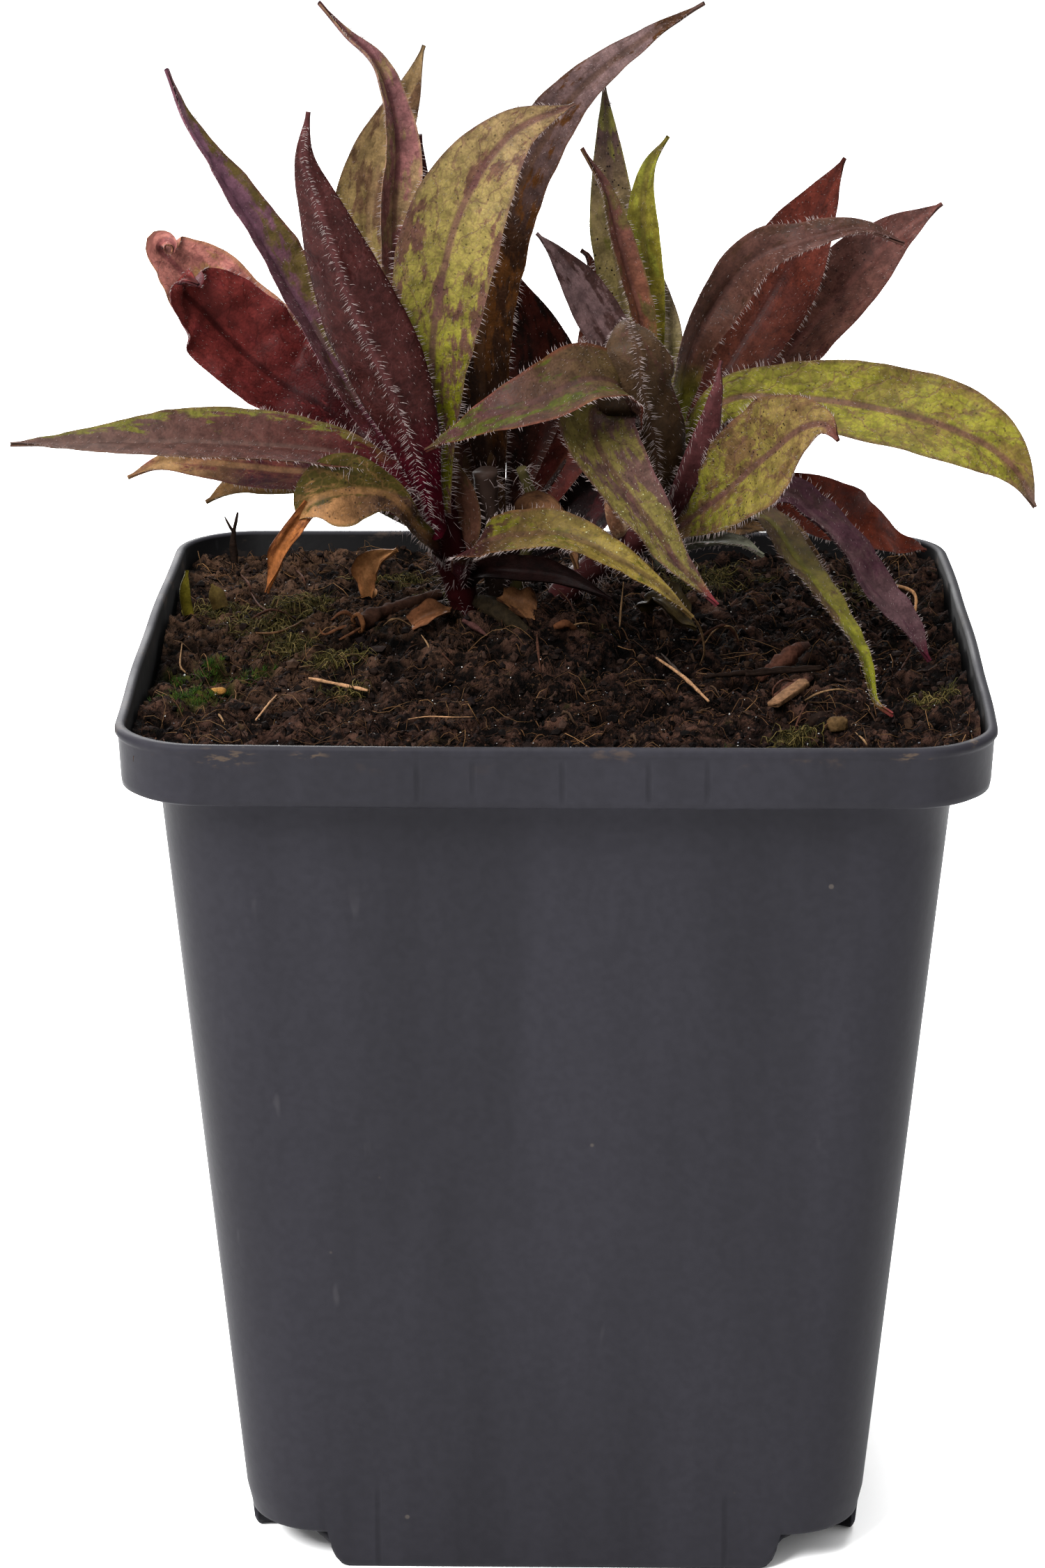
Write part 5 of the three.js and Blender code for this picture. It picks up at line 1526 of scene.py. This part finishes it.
def make_moss(material):
    part = Part()
    add_moss(part, BRIGHT_MOSS, 520, (18, 34, 14), (74, 106, 34), 1.5)
    add_moss(part, OLIVE_MOSS, 900, (28, 26, 16), (88, 80, 42), 1.1)
    return part.make("soil_moss", material)


# Things on the soil

# Lying ones, as their colour and run, in which each point is [x, y, height over the soil, radius]
LYING = {
    "straw_long": (STRAW, [[-32.5, -14.5, 1.3, 0.2], [-28.5, -18, 1.2, 0.24], [-24.5, -21, 1.2, 0.2]]),
    "straw_short": (STRAW, [[-36.3, -21, 1.1, 0.1], [-36.8, -28, 1.1, 0.16], [-38, -35, 1.1, 0.12]]),
    "straw_middle": (STRAW, [[13, -9.5, 1.3, 0.14], [16.5, -16, 1.2, 0.26], [19.5, -25.5, 1.1, 0.18]]),
    "twig_dark": (
        BLACK_BROWN,
        [
            [19.5, -17, 1.7, 0.4], [24.5, -15.3, 2.9, 0.62],
            [29.5, -13.7, 1.7, 0.66], [34.5, -12, 1.9, 0.4],
        ],
    ),
    "root_curled": (
        BARK,
        [[-41, 6.5, 0.9, 0.14], [-38, 4, 1.6, 0.2], [-36, 8, 1.2, 0.2], [-35, 12, 0.9, 0.14]],
    ),
    "root_right": (
        TAN,
        [[48, 12, 1, 0.2], [49, 21, 3, 0.26], [46.5, 27, 3.2, 0.26], [43.5, 29, 2.4, 0.16]],
    ),
}
# Loose roots and scraps, as their tone, thickest radius and run of [x, y, height over the soil]
RED_ROOT = (86, 56, 44)
PALE_ROOT = (168, 132, 96)
ROOTS = [
    (RED_ROOT, 0.2, [[-43.3, 15.3, 0.2], [-41.3, 16.9, 1.2], [-38.9, 14.2, 1.6], [-35.7, 16.2, 0.3]]),
    (RED_ROOT, 0.16, [[-43.4, 30.8, 0.3], [-41.5, 20.9, 1.2], [-39.2, 15.4, 0.6]]),
    (PALE_ROOT, 0.14, [[-35.1, -10.1, 0.2], [-34, -9.9, 0.8], [-32.3, -5.8, 0.3]]),
    (PALE_ROOT, 0.16, [[-23.7, 5.9, 0.2], [-22.5, 3.7, 1.4], [-21.3, 4.2, 1.4], [-19.7, 4.2, 0.2]]),
    (PALE_ROOT, 0.14, [[-18.3, -1.7, 0.4], [-17.2, -6.3, 1], [-16.9, -7.5, 0.2]]),
    (RED_ROOT, 0.16, [[-16.3, -3.9, 0.3], [-15.2, -8.9, 0.7], [-13.6, -10.8, 0.2]]),
    (STRAW, 0.11, [[-18.9, -32.4, 0.4], [-16.3, -31.1, 1.2], [-13.1, -33.3, 1], [-10.5, -32.1, 0.4]]),
    (PALE_ROOT, 0.16, [[8.2, 2.7, 0.2], [8.4, 3.9, 2.6], [8.7, 3.9, 6]]),
    (RED_ROOT, 0.16, [[-0.2, 6.8, 3], [1.5, 6, 2], [2.8, 0.3, 0.3]]),
    (PALE_ROOT, 0.14, [[1.2, -1.7, 0.3], [3.1, -1.1, 1.4], [5, 2.5, 0.3]]),
    (RED_ROOT, 0.22, [[18, 1.4, 0.3], [19.9, 1.6, 2.4], [22.2, 0.8, 3], [23.6, 1.1, 2], [24.4, 1.5, 0.3]]),
    (RED_ROOT, 0.16, [[44.9, -9.2, 0.3], [46.1, -4.7, 1], [46.9, -3.2, 1.8]]),
    (
        RED_ROOT, 0.18,
        [[28, -20.5, 0.3], [28, -20.5, 2], [29.4, -18.3, 2.4], [31, -17.2, 1.6], [31.9, -17, 0.4]],
    ),
    (PALE_ROOT, 0.18, [[31.4, -24.6, 0.5], [33.7, -23, 1.8], [36.4, -22.3, 2], [39.3, -19.9, 0.6]]),
    (RED_ROOT, 0.16, [[32.3, -24.4, 0.8], [31.2, -29.5, 1.2], [30.4, -33, 0.6], [30.8, -38.4, 0.2]]),
    (PALE_ROOT, 0.14, [[37.8, -34.8, 0.3], [38.6, -41, 0.8], [39.1, -41, 0.2]]),
    (RED_ROOT, 0.16, [[45, -22.2, 0.3], [46.2, -24.6, 0.8], [47.1, -24.5, 0.3]]),
    (RED_ROOT, 0.18, [[-45.7, 41.3, 0.3], [-43.7, 31.8, 1], [-43.4, 31, 0.2]]),
    (RED_ROOT, 0.18, [[-37.9, 44.3, 0.5], [-36.4, 35.8, 1.2], [-35.8, 34.4, 0.3]]),
    (PALE_ROOT, 0.14, [[-50.8, 4.7, 0.3], [-50.3, -3.8, 1.2], [-49, -4.4, 0.3]]),
    (PALE_ROOT, 0.14, [[-44.5, -23.5, 0.3], [-42.6, -32.1, 0.8], [-41.9, -33.7, 0.2]]),
    (RED_ROOT, 0.2, [[-2.9, -1.2, 0.3], [-2.6, -10.1, 1.6], [-2.2, -14, 0.3]]),
    ((78, 64, 55), 0.24, [[13.7, -4.8, 0.6], [15.9, -14.1, 1], [18.1, -18.4, 0.6]]),
    (PALE_ROOT, 0.16, [[17, -21.2, 12.4], [18.5, -17, 8.4], [19.2, -13, 4.5], [18.7, -8.5, 0.6]]),
    (
        PALE_ROOT, 0.16,
        [[19.4, 2.3, 0.4], [20.9, 2.3, 2.2], [22.6, 0.6, 3], [23.8, 2.8, 2], [24.3, 0.8, 0.3]],
    ),
    (BLACK_BROWN, 0.8, [[32, -32.8, 0.4], [33.5, -32.6, 0.9], [35, -32.2, 0.4]]),
    ((50, 41, 28), 1.6, [[-11.5, 7.5, 1.2], [-9.5, 3.3, 1.2], [-6.7, 0, 1.1], [-3.8, -3, 0.5]]),
    ((86, 56, 52), 0.5, [[-12.7, -1.4, 1.2], [-11.1, -2.5, 1], [-9.4, -3.3, 0.6]]),
    ((128, 82, 56), 0.6, [[-0.6, -2.7, 1], [1, -2.6, 1.4], [2.6, -1.8, 0.6]]),
    ((94, 60, 48), 1.2, [[26.5, -11.7, 0.5], [28.8, -9.5, 2], [31.2, -7.6, 2.6], [33.2, -1.9, 2]]),
    ((100, 66, 54), 1.1, [[28.2, -19.6, 0.5], [30.3, -18.2, 1.2], [33.3, -11.4, 0.6]]),
]
# Standing ones, as their colour and runs, in which each point is [x, y, z, radius]
STANDING = {
    "twig_upright": (
        BLACK_BROWN,
        [
            [-46.6, 46.5, 112, 0.5], [-47, 46.8, 117, 0.5],
            [-46.9, 46.9, 119.6, 0.36], [-46.3, 47, 122.6, 0.16],
        ],
        [[-46.9, 46.8, 119.6, 0.26], [-47.6, 46.8, 120.8, 0.2], [-48.2, 46.8, 122, 0.1]],
    ),
    "dead_stem": (
        (78, 52, 40),
        [[-16, 11.3, 120, 0.7], [-20, 10, 119, 0.9], [-24, 8.3, 118, 1.05], [-26.7, 6.4, 117.3, 1.3]],
    ),
}
# The dead stem's torn mouth, and the shreds that hang from it
STEM_MOUTH = [[-27.1, 6, 118.6], [-27.8, 7, 117.7], [-27.6, 7.1, 116.6], [-27, 6, 116.1]]
STEM_MOUTH += [[-26.4, 4.9, 116.7], [-26.4, 4.8, 117.9], [-27.1, 6, 118.6]]
STEM_SHREDS = [
    [[-27.6, 7, 117.8, 0.3], [-29.1, 6.4, 118.7, 0.26], [-30.7, 5.6, 117.8, 0.16]],
    [
        [-27.5, 6.4, 116.7, 0.34], [-29.3, 5.4, 116.8, 0.3],
        [-31.5, 4.8, 116, 0.2], [-32.3, 5.2, 116.8, 0.1],
    ],
    [[-26.7, 5.2, 116.8, 0.24], [-27.9, 3.8, 116.4, 0.2], [-29.5, 3.2, 115.7, 0.12]],
]
CHIPS = {
    "bark_chip": {
        "colour": (144, 108, 80), "at": (29.8, -25.8, 1.8), "size": (6.8, 1.8, 0.8),
        "turn": 0.85, "tilt": 0.26, "roundness": 0.25, "slot": "bark",
    },
    "tan_lump": {
        "colour": (104, 80, 52), "at": (35.6, -34.5, 1.3), "size": (2.6, 2.3, 2),
        "turn": 0.4, "tilt": 0, "roundness": 0.8, "slot": "bark",
    },
    "oval_seed": {
        "colour": (196, 142, 76), "at": (-44.6, -14.5, 0.9), "size": (2.3, 1.5, 1),
        "turn": 0.1, "tilt": 0.1, "roundness": 0.9, "slot": "seed",
    },
}
DEAD_LEAVES = [
    new_leaf(
        "dry_leaf_front",
        [[-7.5, 3.5, 122], [-6, 2.5, 121.5], [-4.5, 1.2, 120.6], [-3.2, 0, 119.4]],
        width=5.2, face=[[0.2, -0.9, 0.4], [0.3, -0.9, 0.3]], fold=0.3, curl=0.4, wave=0.4,
        root=(156, 108, 72), tip=(150, 104, 70), patch=(82, 54, 38), spread=0.4, dry=1, crease=3,
        torn=0.3,
    ),
    new_leaf(
        "dry_leaf_under",
        [[11.5, 10, 119.1], [13.5, 8, 119.9], [15.8, 5.5, 119.1], [18.5, 4, 117.3]],
        width=5, face=[0, -0.5, 0.9], curl=0.4, wave=0.4,
        root=(70, 58, 34), tip=(84, 70, 40), patch=(50, 38, 26), spread=0.4, dry=1, crease=3, torn=0.3,
    ),
    # Its colours are painted light, paler than the leaf's own, to make up for the shade of the leaves
    # above it
    new_leaf(
        "dry_leaf_left",
        [[-26.5, 23.5, 116.5], [-27, 23, 119.5], [-25, 22.5, 122], [-22.5, 22, 123.5]],
        width=3.8, face=[[-0.3, -0.9, 0.3], [-0.3, -0.9, 0.4]], curl=0.4,
        root=(236, 160, 104), tip=(252, 182, 122), patch=(190, 124, 82), spread=0.35, dry=1, crease=3,
        torn=0.3,
    ),
    new_leaf(
        "dry_scrap",
        [[-19.6, 0.8, 118.5], [-18, 0.8, 119.5], [-16, 1.2, 120.1], [-14.4, 2.6, 120.4]],
        width=3.6, face=[[-0.2, -0.8, 0.6], [0, -0.8, 0.6]], curl=0.3,
        root=(158, 104, 72), tip=(130, 88, 60), patch=(90, 58, 40), spread=0.4, dry=1, crease=3, torn=0.3,
    ),
]
SEEDLING_LEAVES = [
    new_leaf(
        "seedling_leaf",
        [[-50.8, 15.5, 115.8], [-51.2, 15, 119], [-50.8, 14.5, 122.2]],
        width=1.5, face=[0.2, -0.9, 0.4], wave=0.1,
        root=(100, 90, 32), tip=(122, 112, 40), patch=(84, 76, 30), spread=0.3, dry=1,
    ),
    new_leaf(
        "seedling_olive",
        [[-46.8, 20, 115.6], [-47.3, 20.3, 117.2], [-48, 20.8, 118.8]],
        width=2.4, face=[0, -0.7, 0.7], fold=0.1, wave=0.1,
        root=(88, 70, 38), tip=(108, 90, 48), patch=(70, 54, 32), spread=0.3, dry=1,
    ),
]


def make_rods(name, colour, paths, material):
    part = Part()
    for path in paths:
        add_rod(part, path, 26, 10, 0.3, tone=base(colour))
    return part.make(name + "_visual", material)


def make_split_twig(name, colour, paths, material):
    """A broken twig of three strands that lie side by side."""
    path = paths[0]
    part = Part()
    for shift, size, run in ((0, 0.7, path), (0.42, 0.5, path[:-1]), (-0.42, 0.5, path[1:])):
        strand = [[x, y + shift, z - 0.3 * abs(shift), radius * size] for x, y, z, radius in run]
        add_rod(part, strand, 26, 7, 0.4, tone=base(colour))
    return part.make(name + "_visual", material)


def make_dead_stem(name, colour, paths, material):
    """A dry hollow stem: its pale mouth and the shreds that hang from it."""
    part = Part()
    add_rod(part, paths[0], 40, 14, 0.34, tone=base(colour))
    mouth = [[*point, 0.34] for point in STEM_MOUTH]
    add_rod(part, mouth, 30, 7, 0.4, tone=base(STEM_LIP))
    for shred in STEM_SHREDS:
        add_rod(part, shred, 14, 6, 0.4, tone=base(STEM_SHRED))
    return part.make(name + "_visual", material)


def bumpy_ball(rows, columns, roundness, seed):
    """A ball with a bumpy skin; the lower its roundness, the more it is like a box."""
    down = np.linspace(0, math.pi, rows)
    round_ = np.linspace(0, 2 * math.pi, columns, endpoint=False)
    a, b = np.meshgrid(down, round_, indexing="ij")
    ball = np.stack([np.sin(a) * np.cos(b), np.sin(a) * np.sin(b), np.cos(a)], -1)
    ball = np.sign(ball) * np.abs(ball) ** roundness
    return ball * (1 + 0.13 * noise(ball, 2.1, seed, 3))[..., None]


def make_chip(name, chip, material):
    """A lump on the soil, tilted, then turned about the vertical."""
    rows, columns = 14, 20
    ball = bumpy_ball(rows, columns, chip["roundness"], len(name)) * np.array(chip["size"]) / 2
    c, s = math.cos(chip["turn"]), math.sin(chip["turn"])
    ct, st = math.cos(chip["tilt"]), math.sin(chip["tilt"])
    tilted = ball @ np.array([[ct, 0, st], [0, 1, 0], [-st, 0, ct]])
    turned = tilted @ np.array([[c, s, 0], [-s, c, 0], [0, 0, 1]])
    part = Part()
    quads = grid_quads(rows, columns, closed=True, flip=True)
    part.add(turned + on_soil([chip["at"]])[0], quads, tone=base(chip["colour"]))
    return part.make(name + "_visual", material)


# The plant and the litter, placed on the frame


def place(piece, slot, *nodes):
    """Puts a piece on the frame and hides the solids that it stands in for; the slot is not used."""
    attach(piece, "root")
    if nodes:
        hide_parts(*nodes)


SHOOTS = [
    {
        "name": "shoot_left", "slot": "leaf_purple", "seed": 1, "leaves": LEFT_LEAVES,
        "stems": LEFT_STEMS, "colours": [DEEP_RED],
    },
    {
        "name": "shoot_back", "slot": "leaf_brown", "seed": 60, "leaves": BACK_LEAVES,
        "stems": BACK_STEMS, "colours": [MAROON, STUMP, DRY_STEM],
    },
    {
        "name": "shoot_right", "slot": "leaf_green", "seed": 120, "leaves": RIGHT_LEAVES,
        "stems": RIGHT_STEMS, "colours": [MAROON, OLIVE],
    },
]


def make_shoot(shoot, leaf_look, hair_look):
    name, seed = shoot["name"], shoot["seed"]
    part, hairs = Part(), Part()
    for k, leaf in enumerate(shoot["leaves"]):
        add_leaf(part, leaf, seed + k, hairs)
    for k, (path, colour) in enumerate(zip(shoot["stems"], shoot["colours"])):
        add_stem(part, hairs, path, colour, seed + 40 + k)
    place(part.make(name + "_leaves", leaf_look), shoot["slot"], name)
    place(hairs.make(name + "_hairs", hair_look), shoot["slot"])


def make_plant():
    leaf_look, hair_look = leaf_material(), hair_material()
    for shoot in SHOOTS:
        make_shoot(shoot, leaf_look, hair_look)
    for k, leaf in enumerate(DEAD_LEAVES + SEEDLING_LEAVES):
        part = Part()
        add_leaf(part, leaf, 200 + k, None)
        slot = "dry_leaf" if leaf in DEAD_LEAVES else "seedling"
        place(part.make(leaf["name"] + "_visual", leaf_look), slot, leaf["name"])


def make_litter():
    material = litter_material()
    for make in (make_crumbs, make_grit, make_fibres, make_moss):
        place(make(material), "soil")
    for name, (colour, run) in LYING.items():
        make = make_split_twig if name == "twig_dark" else make_rods
        slot = "twig" if name.startswith("twig") else "straw"
        place(make(name, colour, [on_soil(run)], material), slot, name)
    for name, (colour, *paths) in STANDING.items():
        make = make_dead_stem if name == "dead_stem" else make_rods
        place(make(name, colour, paths, material), "twig", name)
    for name, chip in CHIPS.items():
        place(make_chip(name, chip, material), chip["slot"], name)


# Studio


FLOOR_REACH = 3000
WORLD_LIGHT = 1.06
SENSOR_WIDTH = 36
# Each lamp's place, size and power
LAMPS = {
    "key": ((-500, -650, 900), (600, 600), 55),
    "fill": ((700, -500, 450), (500, 700), 0.5),
    "top": ((0, 150, 1000), (700, 700), 16),
    "rear": ((-300, 900, 500), (700, 700), 16),
}
LAMPS_AIM_AT = (0, 0, 120)


def make_floor():
    sh = Shader("studio_floor")
    material = sh.finish((0.95, 0.95, 0.95), 0.9, 0.1)
    part = Part()
    r = FLOOR_REACH
    part.add([[-r, -r, 0], [r, -r, 0], [r, r, 0], [-r, r, 0]], [[0, 1, 2, 3]])
    part.make("floor", material)


def add_lamp(name, at, size, power):
    light = bpy.data.lights.new(name, "AREA")
    light.shape = "RECTANGLE"
    light.size, light.size_y = size[0] * MM, size[1] * MM
    light.energy = power
    lamp = bpy.data.objects.new(name, light)
    lamp.location = Vector(at) * MM
    aim = (Vector(LAMPS_AIM_AT) - Vector(at)).normalized()
    lamp.rotation_mode = "QUATERNION"
    lamp.rotation_quaternion = aim.to_track_quat("-Z", "Y")
    bpy.context.scene.collection.objects.link(lamp)


def make_studio():
    scene = bpy.context.scene
    world = bpy.data.worlds.new("studio")
    world.use_nodes = True
    world.node_tree.nodes["Background"].inputs["Color"].default_value = (1, 1, 1, 1)
    world.node_tree.nodes["Background"].inputs["Strength"].default_value = WORLD_LIGHT
    scene.world = world
    scene.view_settings.view_transform = "Standard"
    for name, (at, size, power) in LAMPS.items():
        add_lamp(name, at, size, power)
    make_floor()


def make_camera():
    camera = bpy.data.cameras.new("camera")
    camera.lens = CAMERA_LENS
    camera.sensor_width = SENSOR_WIDTH
    camera.clip_start, camera.clip_end = 0.01, 20
    holder = bpy.data.objects.new("camera", camera)
    pitch, yaw = math.radians(CAMERA_PITCH), math.radians(CAMERA_YAW)
    level = math.cos(pitch)
    ahead = Vector((math.sin(yaw) * level, math.cos(yaw) * level, -math.sin(pitch)))
    holder.location = Vector(CAMERA_AT) * MM
    holder.rotation_mode = "QUATERNION"
    holder.rotation_quaternion = ahead.to_track_quat("-Z", "Y")
    bpy.context.scene.collection.objects.link(holder)
    bpy.context.scene.camera = holder


make_camera()
make_studio()
place(make_pot(pot_material()), "pot", "pot")
place(make_soil(soil_material()), "soil", "soil")
make_plant()
make_litter()
